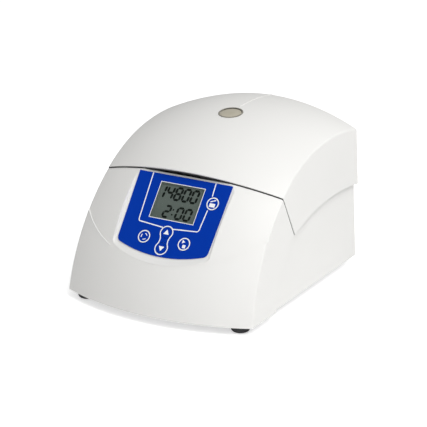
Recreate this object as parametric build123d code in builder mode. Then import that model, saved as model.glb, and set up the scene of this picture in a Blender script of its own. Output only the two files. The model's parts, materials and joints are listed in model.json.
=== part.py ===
from build123d import *
import os
from math import atan2, cos, degrees, pi, radians, sin, sqrt, tan

os.makedirs("parts", exist_ok=True)

# A compact bench microcentrifuge. All sizes are in millimetres.
# It stands on Z = 0, its front faces -Y and +X is its right side as a user sees it.
# The origin is under the middle of its outline.

# Casing as a whole
casing_width = 211.0
foot_height = 8.0
side_lean = 2.68
wall = 3.0
rear_step = 3.3
rear_face_y = 123.8

# Side view of the front: one arc, crowned across the machine
front_arc_y = 72.0
front_arc_z = -30.0
front_arc_radius = 180.0
front_crown_radius = 246.0
front_crown_half = 103.0
facet_set_back = 1.2
smile_radius = 130.0
smile_rise = 81.5

# Side view of the lid: two tangent arcs, crowned across the machine
seam_side_y = -33.2
seam_side_z = 117.0
seam_top_y = -50.2
seam_top_z = 133.0
lid_front_radius = 164.0
lid_join_angle = 101.0
lid_rear_radius = 235.0
lid_crown_radius = 232.0
lid_crown_half = 100.0
lid_wall = 2.6
lid_rear_y = 127.0
lid_rear_wall_z = 100.0
lid_gap = 1.2
crease_radius = 3.0
crease_reach = 10.0
lip_thick = 2.5
lip_reach = 4.0
skirt_tip_y = -12.4
skirt_tip_z = 74.0
skirt_mid_y = 57.0
skirt_mid_z = 88.6
skirt_rear_z = 85.4
cheek_mid_y = -38.0
cheek_mid_z = 47.5
cheek_foot_y = -57.0

# Sloping control panel
panel_y = -78.0
panel_z = 91.06
panel_tilt = 39.7
panel_depth = 1.8
panel_half_top = 53.0
panel_half_foot = 51.0
panel_foot = -28.5
panel_low = -37.7
panel_top = 46.2
panel_corner = 6.0
panel_margin = 3.8
panel_ledge = 9.0
overlay_thick = 0.8
screen_width = 50.4
screen_height = 38.4
screen_foot = 0.1
key_radius = 6.6
step_key_radius = 5.6
key_clearance = 0.3
key_travel = 0.5
side_key_x = 22.7
side_key_v = -20.5
up_key_v = -12.5
down_key_v = -28.8
lid_key_x = 38.0
lid_key_v = 25.0
board_depth = 9.4
board_thick = 1.6

# Hinge of the lid
hinge_y = 116.5
hinge_z = 94.0
barrel_radius = 8.5
barrel_half = 94.0
hinge_boss_radius = 7.0
hinge_gap = 0.7
hinge_pin_radius = 3.0
hinge_pin_inner_x = 82.0
pin_clearance = 0.05

# Rotor chamber
axis_y = 38.0
deck_z = 92.0
deck_half = 94.0
deck_front_y = -34.0
deck_rear_y = 108.0
bowl_radius = 64.0
bowl_wall = 1.5
bowl_floor_z = 50.0
bowl_flange = 5.2
bowl_corner = 9.0
scallop_radius = 73.0

# Rotor and drive
well_count = 12
well_radius = 5.6
well_length = 33.0
well_angle = 45.0
mouth_radius = 28.0
mouth_z = 86.0
rotor_radius = 59.5
rotor_foot_z = 55.0
spindle_radius = 6.0
nut_radius = 9.0
nut_height = 8.0
motor_radius = 39.0
motor_foot_z = 18.0
motor_top_z = 44.0
plate_thick = 2.5
plate_radius = 68.0
can_wall = 2.0
bearing_radius = 11.0
bearing_height = 6.0
armature_radius = 16.0
stator_low_z = 25.0
stator_high_z = 40.0
pole_count = 9
boot_radius = 13.5
spindle_hole = 13.0
spindle_step_z = 80.0
spindle_top_z = 100.0
thread_radius = 4.0
damper_radius = 7.0
damper_circle = 50.0
damper_bolt_radius = 2.0
rotor_top_z = 91.0
rotor_hub_z = 80.0
rotor_rim_radius = 37.0
rotor_funnel_radius = 22.0
cover_radius = 38.0
nut_grips = 12

# Base, feet, rear panel
base_thick = 2.0
base_clearance = 0.3
foot_radius = 9.5
vent_slots = 9
vent_pitch = 6.5
vent_slot_width = 3.0
vent_slot_length = 62.0
vent_x = -48.0
vent_z = 45.0
inlet_x = 52.0
inlet_z = 32.0
inlet_width = 27.4
inlet_height = 28.0
flange_thick = 2.0
socket_depth = 17.0
drawer_half = 8.0
drawer_z = (20.8, 27.4)
switch_x = 52.0
switch_z = 64.0
switch_width = 27.0
switch_height = 19.0
rocker_half = 10.4
rocker_rise = 6.9
rocker_y = 119.5
rocker_pin = 1.2
rocker_rest = -7.0

# Sight window in the lid
window_y = 43.6
window_radius = 12.6
window_rim = 2.6
window_sunk = 0.7
ridge_half = 0.9
ridge_height = 0.45

# Latches at both sides of the hood
latch_x = 45.25
latch_y = -38.0
latch_z = 99.0
latch_space = 1.5
latch_case_length = 15.5
striker_thick = 2.5
striker_y = (-41.5, -34.5)
striker_foot_z = 94.0
striker_top_z = 128.0

# Inner pan of the lid
liner_z = 96.5
liner_thick = 2.5
lid_posts = ((-84.0, 2.0), (84.0, 2.0), (-84.0, 92.0), (84.0, 92.0))
post_radius = 5.0
screw_radius = 1.5
bush_radius = 5.0
pin_outer_x = 98.0
liner_half = 97.5
liner_front_y = -20.0
liner_rear_y = 104.0
liner_round = 69.5
dish_radius = 58.0
dish_top_z = 106.5
tube_radius = 11.0
tube_wall = 1.5
pane_radius = 11.5
bowl_top_z = 94.1

# Small parts
bolt_radius = 2.5
bolt_length = 13.0
lens_depth = 0.9
key_top = 0.9
key_foot = 5.6
key_rim = 0.6
plunger_depth = 6.3
switch_depth = 7.0
board_half = 43.0
board_v = (-34.0, 33.0)
board_places = ((-39.0, -30.0), (39.0, -30.0), (-39.0, 8.0), (39.0, 8.0))
drive_half = 78.0
drive_y = (-88.0, -24.0)
drive_board_z = 16.0
drive_places = ((-73.0, -83.0), (73.0, -83.0), (-73.0, -29.0), (73.0, -29.0))
sink_fins = 9
head_radius = 2.9
foot_sink = 3.5
foot_places = ((-88.0, -95.0), (88.0, -95.0), (-78.0, 103.0), (78.0, 103.0))
boss_places = (
    (-96.5, -72.0), (96.5, -72.0), (-93.5, 30.0), (93.5, 30.0), (-93.5, 84.0), (93.5, 84.0),
)
boss_radius = 4.5
boss_top_z = 34.0

lean = tan(radians(side_lean))


def polar(y, z, radius, angle):
    """Point in the side view at an angle from +Y towards +Z."""
    return (y + radius * cos(radians(angle)), z + radius * sin(radians(angle)))


def half_width(z):
    """Half of the casing's width at a height: both sides lean inwards."""
    return casing_width / 2 - (z - foot_height) * lean


def crown(radius, half, x):
    """Height of a crown above its edge line, at a distance from the middle."""
    return sqrt(radius**2 - x**2) - sqrt(radius**2 - half**2)


seam_half = half_width(seam_side_z)
seam_step = crown(front_crown_radius, front_crown_half, seam_half) - crown(
    lid_crown_radius, lid_crown_half, seam_half
)
seam_angle = degrees(atan2(seam_side_z - front_arc_z, seam_side_y - front_arc_y))
lid_front_y, lid_front_z = polar(
    front_arc_y, front_arc_z, front_arc_radius + seam_step - lid_front_radius, seam_angle
)
lid_rear_arc_y, lid_rear_arc_z = polar(
    lid_front_y, lid_front_z, lid_front_radius - lid_rear_radius, lid_join_angle
)


def crowned_band(y, z, radius, crown_radius, half, inner, outer, start, end, span):
    """Solid between two crowned skins: an arched strip turned about a cross axis."""
    middle = radius - sqrt(crown_radius**2 - half**2)
    tangent = (0, -sin(radians(start)), cos(radians(start)))
    with BuildPart() as band:
        with BuildSketch(Plane(origin=(0, y, z), x_dir=(1, 0, 0), z_dir=tangent)):
            with BuildLine():
                high = crown_radius + outer
                low = crown_radius + inner
                high_edge = middle + sqrt(high**2 - span**2)
                low_edge = middle + sqrt(low**2 - span**2)
                ThreePointArc((-span, high_edge), (0, middle + high), (span, high_edge))
                Line((span, high_edge), (span, low_edge))
                ThreePointArc((span, low_edge), (0, middle + low), (-span, low_edge))
                Line((-span, low_edge), (-span, high_edge))
            make_face()
        revolve(axis=Axis((0, y, z), (1, 0, 0)), revolution_arc=end - start)
    return band.part


def front_skin(inner, outer):
    """Band over the crowned front."""
    return crowned_band(
        front_arc_y, front_arc_z, front_arc_radius, front_crown_radius, front_crown_half,
        inner, outer, 118, 178, casing_width / 2 + 6,
    )


def lid_skin(inner, outer, span=casing_width / 2 + 6, end=72):
    """Band over the lid, front arc and rear arc together."""
    front = crowned_band(
        lid_front_y, lid_front_z, lid_front_radius, lid_crown_radius, lid_crown_half,
        inner, outer, lid_join_angle, 136, span,
    )
    rear = crowned_band(
        lid_rear_arc_y, lid_rear_arc_z, lid_rear_radius, lid_crown_radius, lid_crown_half,
        inner, outer, end, lid_join_angle, span,
    )
    return front, rear


def leaning_slab(inset, low, high, front, rear):
    """Block between the two leaning sides, set in by a distance."""
    with BuildPart() as slab:
        with BuildSketch(Plane.XZ.offset(-rear)):
            with BuildLine():
                Polyline(
                    (-half_width(low) + inset, low),
                    (half_width(low) - inset, low),
                    (half_width(high) - inset, high),
                    (-half_width(high) + inset, high),
                    close=True,
                )
            make_face()
        extrude(amount=rear - front)
    return slab.part


def shifted_corner(corner, before, after, distance):
    """Corner of a polyline moved inwards by a distance from both of its sides."""
    a = Vector(corner[0] - before[0], corner[1] - before[1]).normalized()
    b = Vector(after[0] - corner[0], after[1] - corner[1]).normalized()
    na = Vector(-a.Y, a.X)
    nb = Vector(-b.Y, b.X)
    scale = distance / (1 + na.dot(nb))
    return (corner[0] + (na.X + nb.X) * scale, corner[1] + (na.Y + nb.Y) * scale)


seam_top = (seam_top_y, seam_top_z)
seam_side = (seam_side_y, seam_side_z)
skirt_tip = (skirt_tip_y, skirt_tip_z)
seam_run = Vector(seam_top_y - seam_side_y, seam_top_z - seam_side_z).normalized()
seam_far = (seam_top_y + seam_run.X * 18, seam_top_z + seam_run.Y * 18)

panel_up = Vector(0, sin(radians(panel_tilt)), cos(radians(panel_tilt)))
panel_out = Vector(0, -cos(radians(panel_tilt)), sin(radians(panel_tilt)))
panel_origin = Vector(0, panel_y, panel_z)


def panel_plane(depth):
    """Plane parallel to the control panel, a distance under its display plane."""
    origin = panel_origin - panel_out * depth
    return Plane(origin=origin, x_dir=(1, 0, 0), z_dir=panel_out)


def casing_corner(distance):
    """Corner of the hood below the side end of the seam, a distance under the lid."""
    return shifted_corner(seam_side, skirt_tip, seam_top, distance)


def hood_profile(distance, arc_radius, foot_z):
    """Side view of the hood: front arc, seam line, gap line and cheek arc."""
    corner = casing_corner(distance)
    far = (
        seam_far[0] + (corner[0] - seam_side_y),
        seam_far[1] + (corner[1] - seam_side_z),
    )
    tip = (skirt_tip_y - distance, skirt_tip_z - distance)
    middle = (cheek_mid_y - distance + lid_gap, cheek_mid_z - distance + lid_gap)
    foot = (cheek_foot_y - distance + lid_gap, foot_z)
    start_y = front_arc_y - sqrt(arc_radius**2 - (foot_z - front_arc_z) ** 2)
    turn = degrees(atan2(far[1] - front_arc_z, far[0] - front_arc_y))
    top = polar(front_arc_y, front_arc_z, arc_radius, turn)
    half_turn = (turn + degrees(atan2(foot_z - front_arc_z, start_y - front_arc_y))) / 2
    with BuildSketch(Plane.YZ) as profile:
        with BuildLine():
            ThreePointArc(
                (start_y, foot_z), polar(front_arc_y, front_arc_z, arc_radius, half_turn), top
            )
            Polyline(top, corner, tip)
            ThreePointArc(tip, middle, foot)
            Line(foot, (start_y, foot_z))
        make_face()
    return profile.sketch


def rear_profile(distance, front_y, foot_z, rear_y):
    """Side view of the rear body, under the arc of the lid's skirt."""
    drop = distance
    tip = (skirt_tip_y - distance, skirt_tip_z - distance)
    with BuildSketch(Plane.YZ) as profile:
        with BuildLine():
            Polyline(tip, (front_y, 50 - distance), (front_y, foot_z), (rear_y, foot_z))
            Line((rear_y, foot_z), (rear_y, skirt_rear_z - drop))
            ThreePointArc(
                (rear_y, skirt_rear_z - drop), (skirt_mid_y, skirt_mid_z - drop), tip
            )
        make_face()
    return profile.sketch


def panel_outline(depth, half_top, half_foot, foot, low, top, corner):
    """Panel shape: straight sides, open top and a bowed foot with round corners."""
    with BuildSketch(panel_plane(depth)) as outline:
        with BuildLine():
            Polyline((-half_foot, foot), (-half_top, top), (half_top, top), (half_foot, foot))
            ThreePointArc((half_foot, foot), (0, low), (-half_foot, foot))
        make_face()
        if corner > 0:
            fillet(outline.vertices().group_by(Axis.Y)[0], radius=corner)
    return outline.sketch


def side_cylinder(radius, start, end, y, z):
    """Round bar along X."""
    with BuildPart() as bar:
        with BuildSketch(Plane.YZ.offset(start)):
            with Locations((y, z)):
                Circle(radius)
        extrude(amount=end - start)
    return bar.part


def block(x, y, z):
    """Box between two limits on each axis."""
    with BuildPart() as solid:
        with Locations(((x[0] + x[1]) / 2, (y[0] + y[1]) / 2, (z[0] + z[1]) / 2)):
            Box(x[1] - x[0], y[1] - y[0], z[1] - z[0])
    return solid.part


def panel_block(x, v, depth):
    """Box on the panel: limits across, up the slope and inwards."""
    with BuildPart() as solid:
        with BuildSketch(panel_plane(depth[1])):
            with Locations(((x[0] + x[1]) / 2, (v[0] + v[1]) / 2)):
                Rectangle(x[1] - x[0], v[1] - v[0])
        extrude(amount=depth[1] - depth[0])
    return solid.part


def panel_disc(radius, x, v, depth):
    """Round plate on the panel: place, then limits inwards."""
    with BuildPart() as solid:
        with BuildSketch(panel_plane(depth[1])):
            with Locations((x, v)):
                Circle(radius)
        extrude(amount=depth[1] - depth[0])
    return solid.part


def tube(outer, inner, low, high, x=0, y=axis_y):
    """Upright round piece between two heights, hollow when it has an inner radius."""
    with BuildPart() as ring:
        with BuildSketch(Plane.XY.offset(low)):
            with Locations((x, y)):
                Circle(outer)
                if inner > 0:
                    Circle(inner, mode=Mode.SUBTRACT)
        extrude(amount=high - low)
    return ring.part


def crease_edges(part):
    """Long edges where the crowned skin meets the leaning sides."""
    reach = casing_width / 2 - crease_reach
    return [
        edge for edge in part.edges().filter_by(GeomType.BSPLINE)
        if min(abs(edge.bounding_box().min.X), abs(edge.bounding_box().max.X)) > reach
        and edge.bounding_box().size.X < crease_reach
    ]


def finish(piece, name):
    """Label a piece and write its file."""
    piece.label = name
    export_step(piece, f"parts/{name}.step")


# Housing: moulded hood, cheeks, rear body, deck and hinge barrel in one shell
recess_half_top = panel_half_top + panel_margin
recess_half_foot = panel_half_foot + panel_margin

window_angle = degrees(atan2(
    sqrt(lid_rear_radius**2 - (window_y - lid_rear_arc_y) ** 2), window_y - lid_rear_arc_y
))
window_point = polar(
    lid_rear_arc_y, lid_rear_arc_z,
    lid_rear_radius + crown(lid_crown_radius, lid_crown_half, 0) - window_sunk, window_angle,
)
window_seat_z = window_point[1]
window_plane = Plane(
    origin=(0, window_point[0], window_point[1]), x_dir=(1, 0, 0),
    z_dir=(0, cos(radians(window_angle)), sin(radians(window_angle))),
)

with BuildPart() as hood_block:
    extrude(
        hood_profile(lid_gap, front_arc_radius + 40, foot_height),
        amount=casing_width, both=True,
    )
    add(leaning_slab(0, 0, 200, -200, 200), mode=Mode.INTERSECT)
    add(front_skin(0, 60), mode=Mode.SUBTRACT)
    fillet(crease_edges(hood_block.part), radius=crease_radius)

with BuildPart() as facet_cut:
    add(front_skin(-facet_set_back, 20))
    with BuildSketch(panel_plane(60)):
        with Locations((0, smile_rise)):
            Circle(smile_radius)
    extrude(amount=150, mode=Mode.INTERSECT)

floor_outline = panel_outline(
    panel_depth, recess_half_top, recess_half_foot,
    panel_foot - 2, panel_low - 2.5, panel_top + 30, panel_corner,
)
ledge_outline = panel_outline(
    panel_depth - panel_ledge, recess_half_top + 0.8, recess_half_foot + 0.8,
    panel_foot - 17, panel_low - 16.6, panel_top + 30, panel_corner,
)
with BuildPart() as recess_cut:
    loft([floor_outline.face(), ledge_outline.face()])
    extrude(ledge_outline, amount=30)

with BuildPart() as hood_space:
    extrude(
        hood_profile(lid_gap + wall, front_arc_radius + 40, foot_height - 12),
        amount=casing_width, both=True,
    )
    add(leaning_slab(wall, -20, 200, -200, 200), mode=Mode.INTERSECT)
    add(front_skin(-wall - facet_set_back, 60), mode=Mode.SUBTRACT)
    with BuildSketch(panel_plane(panel_depth + wall)):
        Rectangle(2 * (recess_half_top + wall), 240)
    extrude(amount=60, mode=Mode.SUBTRACT)

with BuildPart() as rear_block:
    extrude(
        rear_profile(lid_gap, cheek_foot_y - 15, foot_height, rear_face_y),
        amount=casing_width, both=True,
    )
    add(leaning_slab(rear_step, 0, 200, -200, 200), mode=Mode.INTERSECT)

with BuildPart() as rear_space:
    extrude(
        rear_profile(lid_gap + wall, cheek_foot_y - 15, foot_height - 12, rear_face_y - wall),
        amount=casing_width, both=True,
    )
    add(leaning_slab(rear_step + wall, -20, 200, -200, 200), mode=Mode.INTERSECT)

with BuildPart() as deck_space:
    with Locations((0, (deck_front_y + deck_rear_y) / 2, deck_z - wall)):
        Box(
            2 * (deck_half - wall), deck_rear_y - deck_front_y - 2 * wall, 40,
            align=(Align.CENTER, Align.CENTER, Align.MAX),
        )

with BuildPart() as casing_space:
    add(hood_space)
    add(rear_space)
    add(deck_space)
    with BuildSketch(Plane.XY.offset(deck_z - wall)):
        with Locations((0, axis_y)):
            Circle(scallop_radius + wall)
            Rectangle(300, 200, align=(Align.CENTER, Align.MIN), mode=Mode.SUBTRACT)
    extrude(amount=80, mode=Mode.SUBTRACT)

key_places = {
    "key_select": (-side_key_x, side_key_v, key_radius),
    "key_start": (side_key_x, side_key_v, key_radius),
    "key_up": (0, up_key_v, step_key_radius),
    "key_down": (0, down_key_v, step_key_radius),
    "key_lid": (lid_key_x, lid_key_v, key_radius),
}
screen = ((-screen_width / 2, screen_width / 2), (screen_foot, screen_foot + screen_height))
rear_inner_y = rear_face_y - wall
base_top_z = foot_height + base_thick

with BuildPart() as housing:
    add(hood_block)
    add(facet_cut, mode=Mode.SUBTRACT)
    add(recess_cut, mode=Mode.SUBTRACT)
    add(rear_block)
    with Locations((0, (deck_front_y + deck_rear_y) / 2, deck_z)):
        Box(
            2 * deck_half, deck_rear_y - deck_front_y, 32,
            align=(Align.CENTER, Align.CENTER, Align.MAX),
        )
    add(side_cylinder(barrel_radius, -barrel_half, barrel_half, hinge_y, hinge_z))
    with Locations((0, hinge_y - 1.5, hinge_z - 2)):
        Box(
            2 * barrel_half, 12, 16,
            align=(Align.CENTER, Align.CENTER, Align.MAX),
        )
    add(casing_space, mode=Mode.SUBTRACT)
    with BuildSketch(Plane.XY.offset(deck_z)):
        with Locations((0, axis_y)):
            Circle(scallop_radius)
            Rectangle(300, 200, align=(Align.CENTER, Align.MIN), mode=Mode.SUBTRACT)
    extrude(amount=80, mode=Mode.SUBTRACT)
    with Locations((0, axis_y, deck_z)):
        Cylinder(bowl_radius + bowl_wall + 0.8, 60, mode=Mode.SUBTRACT)
    # Openings in the panel floor for the screen and the keys
    add(
        panel_block(
            (screen[0][0] - 1, screen[0][1] + 1), (screen[1][0] - 1, screen[1][1] + 1),
            (panel_depth - 1, panel_depth + wall + 1),
        ),
        mode=Mode.SUBTRACT,
    )
    for x, v, radius in key_places.values():
        add(
            panel_disc(
                radius + key_clearance, x, v, (panel_depth - 1, panel_depth + wall + 1)
            ),
            mode=Mode.SUBTRACT,
        )
    # Slots that let the lid's strikers through, and brackets that hold the latches
    for side in (-1, 1):
        with Locations((side * latch_x, (striker_y[0] + striker_y[1]) / 2, striker_foot_z)):
            Box(
                striker_thick + 2.5, striker_y[1] - striker_y[0] + 5, 40,
                align=(Align.CENTER, Align.CENTER, Align.MIN), mode=Mode.SUBTRACT,
            )
        near = latch_x + striker_thick / 2 + latch_space + latch_case_length
        bracket_x = sorted((side * near, side * (near + wall)))
        add(block(bracket_x, (latch_y - 9, latch_y + 7), (latch_z - 8, latch_z + 9)))
    # Posts for the control board and bosses for the base plate
    for x, v in board_places:
        add(panel_disc(3, x, v, (panel_depth + wall - 0.5, board_depth)))
        add(panel_disc(1.35, x, v, (board_depth - 6.5, board_depth + 1)), mode=Mode.SUBTRACT)
    for x, y in boss_places:
        inner_x = half_width(foot_height) - wall - (rear_step if y > skirt_tip_y else 0)
        rib = sorted((x, x * (inner_x + 1) / abs(x)))
        add(tube(boss_radius, 0, base_top_z, boss_top_z, x, y))
        add(block(rib, (y - 1.2, y + 1.2), (base_top_z, boss_top_z)))
        add(tube(screw_radius + 0.05, 0, base_top_z, boss_top_z - 4, x, y),
            mode=Mode.SUBTRACT)
    # Blind bores for the hinge pins
    for start in (-barrel_half - 1, hinge_pin_inner_x):
        add(
            side_cylinder(
                hinge_pin_radius + pin_clearance,
                start, start + barrel_half - hinge_pin_inner_x + 1, hinge_y, hinge_z,
            ),
            mode=Mode.SUBTRACT,
        )
    # Rear wall: air slots, power inlet and switch openings
    with BuildSketch(Plane.XZ.offset(-rear_face_y - 1)):
        with Locations((vent_x, vent_z)):
            with GridLocations(0, vent_pitch, 1, vent_slots):
                SlotOverall(vent_slot_length, vent_slot_width)
        with Locations((inlet_x, inlet_z)):
            Rectangle(inlet_width, inlet_height)
        with Locations((switch_x, switch_z)):
            Rectangle(switch_width, switch_height)
    extrude(amount=wall + 2, mode=Mode.SUBTRACT)

finish(housing.part, "housing")

# Lid shell: crowned skin with pointed side skirts, open underneath
with BuildPart() as lid_block:
    with BuildSketch(Plane.YZ):
        with BuildLine():
            Polyline(
                skirt_tip, seam_side, seam_far, (lid_front_y - 95, 190), (lid_rear_y, 190),
                (lid_rear_y, skirt_rear_z),
            )
            ThreePointArc((lid_rear_y, skirt_rear_z), (skirt_mid_y, skirt_mid_z), skirt_tip)
        make_face()
    extrude(amount=casing_width, both=True)
    add(leaning_slab(0, 0, 250, -200, 200), mode=Mode.INTERSECT)
    for band in lid_skin(0, 60):
        add(band, mode=Mode.SUBTRACT)
    fillet(crease_edges(lid_block.part), radius=crease_radius)

with BuildPart() as lid_space:
    add(leaning_slab(lid_wall, 20, 200, -90, lid_rear_y - lid_wall))
    for band in lid_skin(-lid_wall, 70):
        add(band, mode=Mode.SUBTRACT)

with BuildPart() as lid_fittings:
    for x, y in lid_posts:
        with Locations((x, y, liner_z + liner_thick)):
            Cylinder(post_radius, 90, align=(Align.CENTER, Align.CENTER, Align.MIN))
    for side in (-1, 1):
        ends = sorted((side * (barrel_half + hinge_gap), side * half_width(hinge_z)))
        add(side_cylinder(hinge_boss_radius, ends[0], ends[1], hinge_y, hinge_z))
        flange = sorted((side * (latch_x - 7), side * (latch_x + 5)))
        add(block(flange, striker_y, (striker_top_z, striker_top_z + 30)))
    add(lid_block, mode=Mode.INTERSECT)

# Lip turned in along the seam, seen from below over the control panel
with BuildPart() as lid_lip:
    with BuildSketch(Plane.YZ):
        with BuildLine():
            Polyline(
                seam_side, seam_far,
                (seam_far[0] + seam_run.Y * lip_thick, seam_far[1] - seam_run.X * lip_thick),
                (seam_side[0] + seam_run.Y * lip_thick, seam_side[1] - seam_run.X * lip_thick),
                close=True,
            )
        make_face()
    extrude(amount=casing_width, both=True)
    add(lid_block, mode=Mode.INTERSECT)
    for band in lid_skin(-60, -lip_reach):
        add(band, mode=Mode.SUBTRACT)

with BuildPart() as lid_shell:
    add(lid_block)
    add(lid_space, mode=Mode.SUBTRACT)
    add(lid_lip)
    add(leaning_slab(lid_wall, 60, lid_rear_wall_z, 112, 140), mode=Mode.SUBTRACT)
    add(lid_fittings)
    # Ridge from the window to the rear edge
    ridge_start = degrees(atan2(
        window_seat_z - lid_rear_arc_z, window_y + window_radius + 2 - lid_rear_arc_y
    ))
    ridge_end = degrees(atan2(
        seam_side_z + 26 - lid_rear_arc_z, lid_rear_y - 2 - lid_rear_arc_y
    ))
    add(crowned_band(
        lid_rear_arc_y, lid_rear_arc_z, lid_rear_radius, lid_crown_radius, lid_crown_half,
        -1, ridge_height, ridge_end, ridge_start, ridge_half,
    ))
    add(block((-120, 120), (lid_rear_y, lid_rear_y + 20), (0, 200)), mode=Mode.SUBTRACT)
    # Seat and bore of the sight window, bores for pins and screws
    with BuildSketch(window_plane):
        Circle(window_radius + 0.1)
    extrude(amount=20, mode=Mode.SUBTRACT)
    with BuildSketch(window_plane):
        Circle(window_radius - window_rim)
    extrude(amount=-20, mode=Mode.SUBTRACT)
    for x, y in lid_posts:
        with Locations((x, y, liner_z + liner_thick - 1)):
            Cylinder(
                screw_radius + 0.05, 11,
                align=(Align.CENTER, Align.CENTER, Align.MIN), mode=Mode.SUBTRACT,
            )
    for side in (-1, 1):
        ends = sorted((side * (barrel_half - 1), side * (pin_outer_x + 0.4)))
        add(
            side_cylinder(bush_radius, ends[0], ends[1], hinge_y, hinge_z),
            mode=Mode.SUBTRACT,
        )

finish(lid_shell.part, "lid_shell")

# Window, its dark rim and the tube that leads the view down to the rotor
with BuildPart() as window_ring:
    with BuildSketch(window_plane):
        Circle(window_radius)
        Circle(window_radius - window_rim / 2, mode=Mode.SUBTRACT)
    extrude(amount=window_sunk + 0.3)
finish(window_ring.part, "window_ring")

with BuildPart() as sight_window:
    with BuildSketch(window_plane):
        Circle(window_radius - window_rim / 2 - 0.05)
    extrude(amount=window_sunk)
finish(sight_window.part, "sight_window")

with BuildPart() as sight_tube:
    add(tube(tube_radius, tube_radius - tube_wall, dish_top_z + liner_thick, 180, 0, window_y))
    split(bisect_by=window_plane.offset(-lid_wall), keep=Keep.BOTTOM)
finish(sight_tube.part, "sight_tube")

with BuildPart() as sight_pane:
    add(tube(pane_radius, 0, dish_top_z + 1, dish_top_z + liner_thick, 0, window_y))
finish(sight_pane.part, "sight_pane")

# Inner pan of the lid with a raised dish over the rotor
with BuildPart() as lid_liner:
    with BuildSketch(Plane.XY.offset(liner_z)):
        with Locations((0, (liner_front_y + liner_rear_y) / 2)):
            RectangleRounded(2 * liner_half, liner_rear_y - liner_front_y, 6)
        with Locations((0, axis_y)):
            Circle(liner_round)
    extrude(amount=liner_thick)
    add(tube(dish_radius + liner_thick, 0, liner_z, dish_top_z + liner_thick))
    fillet(faces().sort_by(Axis.Z)[-1].edges(), radius=4)
    add(tube(dish_radius, 0, liner_z, dish_top_z), mode=Mode.SUBTRACT)
    add(tube(tube_radius - tube_wall, 0, dish_top_z - 1, dish_top_z + 5, 0, window_y),
        mode=Mode.SUBTRACT)
    add(tube(pane_radius + 0.05, 0, dish_top_z + 1, dish_top_z + 5, 0, window_y),
        mode=Mode.SUBTRACT)
    for x, y in lid_posts:
        add(tube(screw_radius + 0.1, 0, liner_z, liner_z + liner_thick, x, y),
            mode=Mode.SUBTRACT)
finish(lid_liner.part, "lid_liner")

with BuildPart() as lid_seal:
    add(tube(liner_round - 1, liner_round - 5, bowl_top_z + 0.3, liner_z))
    fillet(faces().sort_by(Axis.Z)[0].edges(), radius=0.8)
finish(lid_seal.part, "lid_seal")


def screws(places, head_radius, shank_radius, head_z, head_height, length):
    """Group of equal screws along Z; a negative height puts the heads below."""
    with BuildPart() as group:
        for x, y in places:
            low, high = sorted((head_z, head_z + head_height))
            add(tube(head_radius, 0, low, high, x, y))
            shank = sorted((head_z, head_z - length if head_height > 0 else head_z + length))
            add(tube(shank_radius, 0, shank[0], shank[1], x, y))
            socket = high - head_height * 0.6 if head_height > 0 else low - head_height * 0.6
            with BuildSketch(Plane.XY.offset(min(socket, high if head_height > 0 else low))):
                with Locations((x, y)):
                    RegularPolygon(head_radius * 0.5, 6)
            extrude(amount=abs(head_height) * 0.6, mode=Mode.SUBTRACT)
    return group.part


finish(screws(lid_posts, 3, screw_radius, liner_z, -1.4, 12), "liner_screws")

# Hinge pins sit in the housing and turn in bushes in the lid
for name, side in (("left", -1), ("right", 1)):
    pin_ends = sorted((side * hinge_pin_inner_x, side * pin_outer_x))
    with BuildPart() as hinge_pin:
        add(side_cylinder(hinge_pin_radius, pin_ends[0], pin_ends[1], hinge_y, hinge_z))
        chamfer(edges(), length=0.4)
    finish(hinge_pin.part, f"hinge_pin_{name}")

with BuildPart() as hinge_bushes:
    for side in (-1, 1):
        ends = sorted((side * (barrel_half + hinge_gap), side * (pin_outer_x + 0.4)))
        add(side_cylinder(bush_radius - pin_clearance, ends[0], ends[1], hinge_y, hinge_z))
        add(
            side_cylinder(
                hinge_pin_radius + pin_clearance, ends[0], ends[1], hinge_y, hinge_z
            ),
            mode=Mode.SUBTRACT,
        )
finish(hinge_bushes.part, "hinge_bushes")

# Lid lock: strikers on the lid, cases and sliding bolts on the body
for name, side in (("left", -1), ("right", 1)):
    plate_x = sorted((side * (latch_x - striker_thick / 2), side * (latch_x + striker_thick / 2)))
    flange_x = sorted((side * (latch_x - 6), side * (latch_x + 4.5)))
    with BuildPart() as striker:
        add(block(plate_x, striker_y, (striker_foot_z, striker_top_z)))
        fillet(
            edges().filter_by(Axis.X).group_by(Axis.Z)[0],
            radius=2.5,
        )
        add(block(flange_x, striker_y, (striker_top_z - 2, striker_top_z)))
        add(
            side_cylinder(bolt_radius + 0.6, plate_x[0] - 1, plate_x[1] + 1, latch_y, latch_z),
            mode=Mode.SUBTRACT,
        )
    finish(striker.part, f"lid_striker_{name}")

    case_inner = latch_x + striker_thick / 2 + latch_space
    case_x = sorted((side * case_inner, side * (case_inner + latch_case_length)))
    bolt_x = sorted((side * case_inner, side * (case_inner + bolt_length)))
    with BuildPart() as latch_case:
        add(block(case_x, (latch_y - 6, latch_y + 6), (latch_z - 7, latch_z + 5)))
        fillet(edges().filter_by(Axis.X), radius=1.5)
        add(
            side_cylinder(
                bolt_radius + pin_clearance,
                min(bolt_x[0], bolt_x[1] - bolt_length) - (0.5 if side > 0 else 0.5),
                max(bolt_x) + 0.5, latch_y, latch_z,
            ),
            mode=Mode.SUBTRACT,
        )
    finish(latch_case.part, f"latch_case_{name}")
    with BuildPart() as latch_bolt:
        add(side_cylinder(bolt_radius, bolt_x[0], bolt_x[1], latch_y, latch_z))
        chamfer(edges(), length=0.5)
    finish(latch_bolt.part, f"latch_bolt_{name}")

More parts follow.
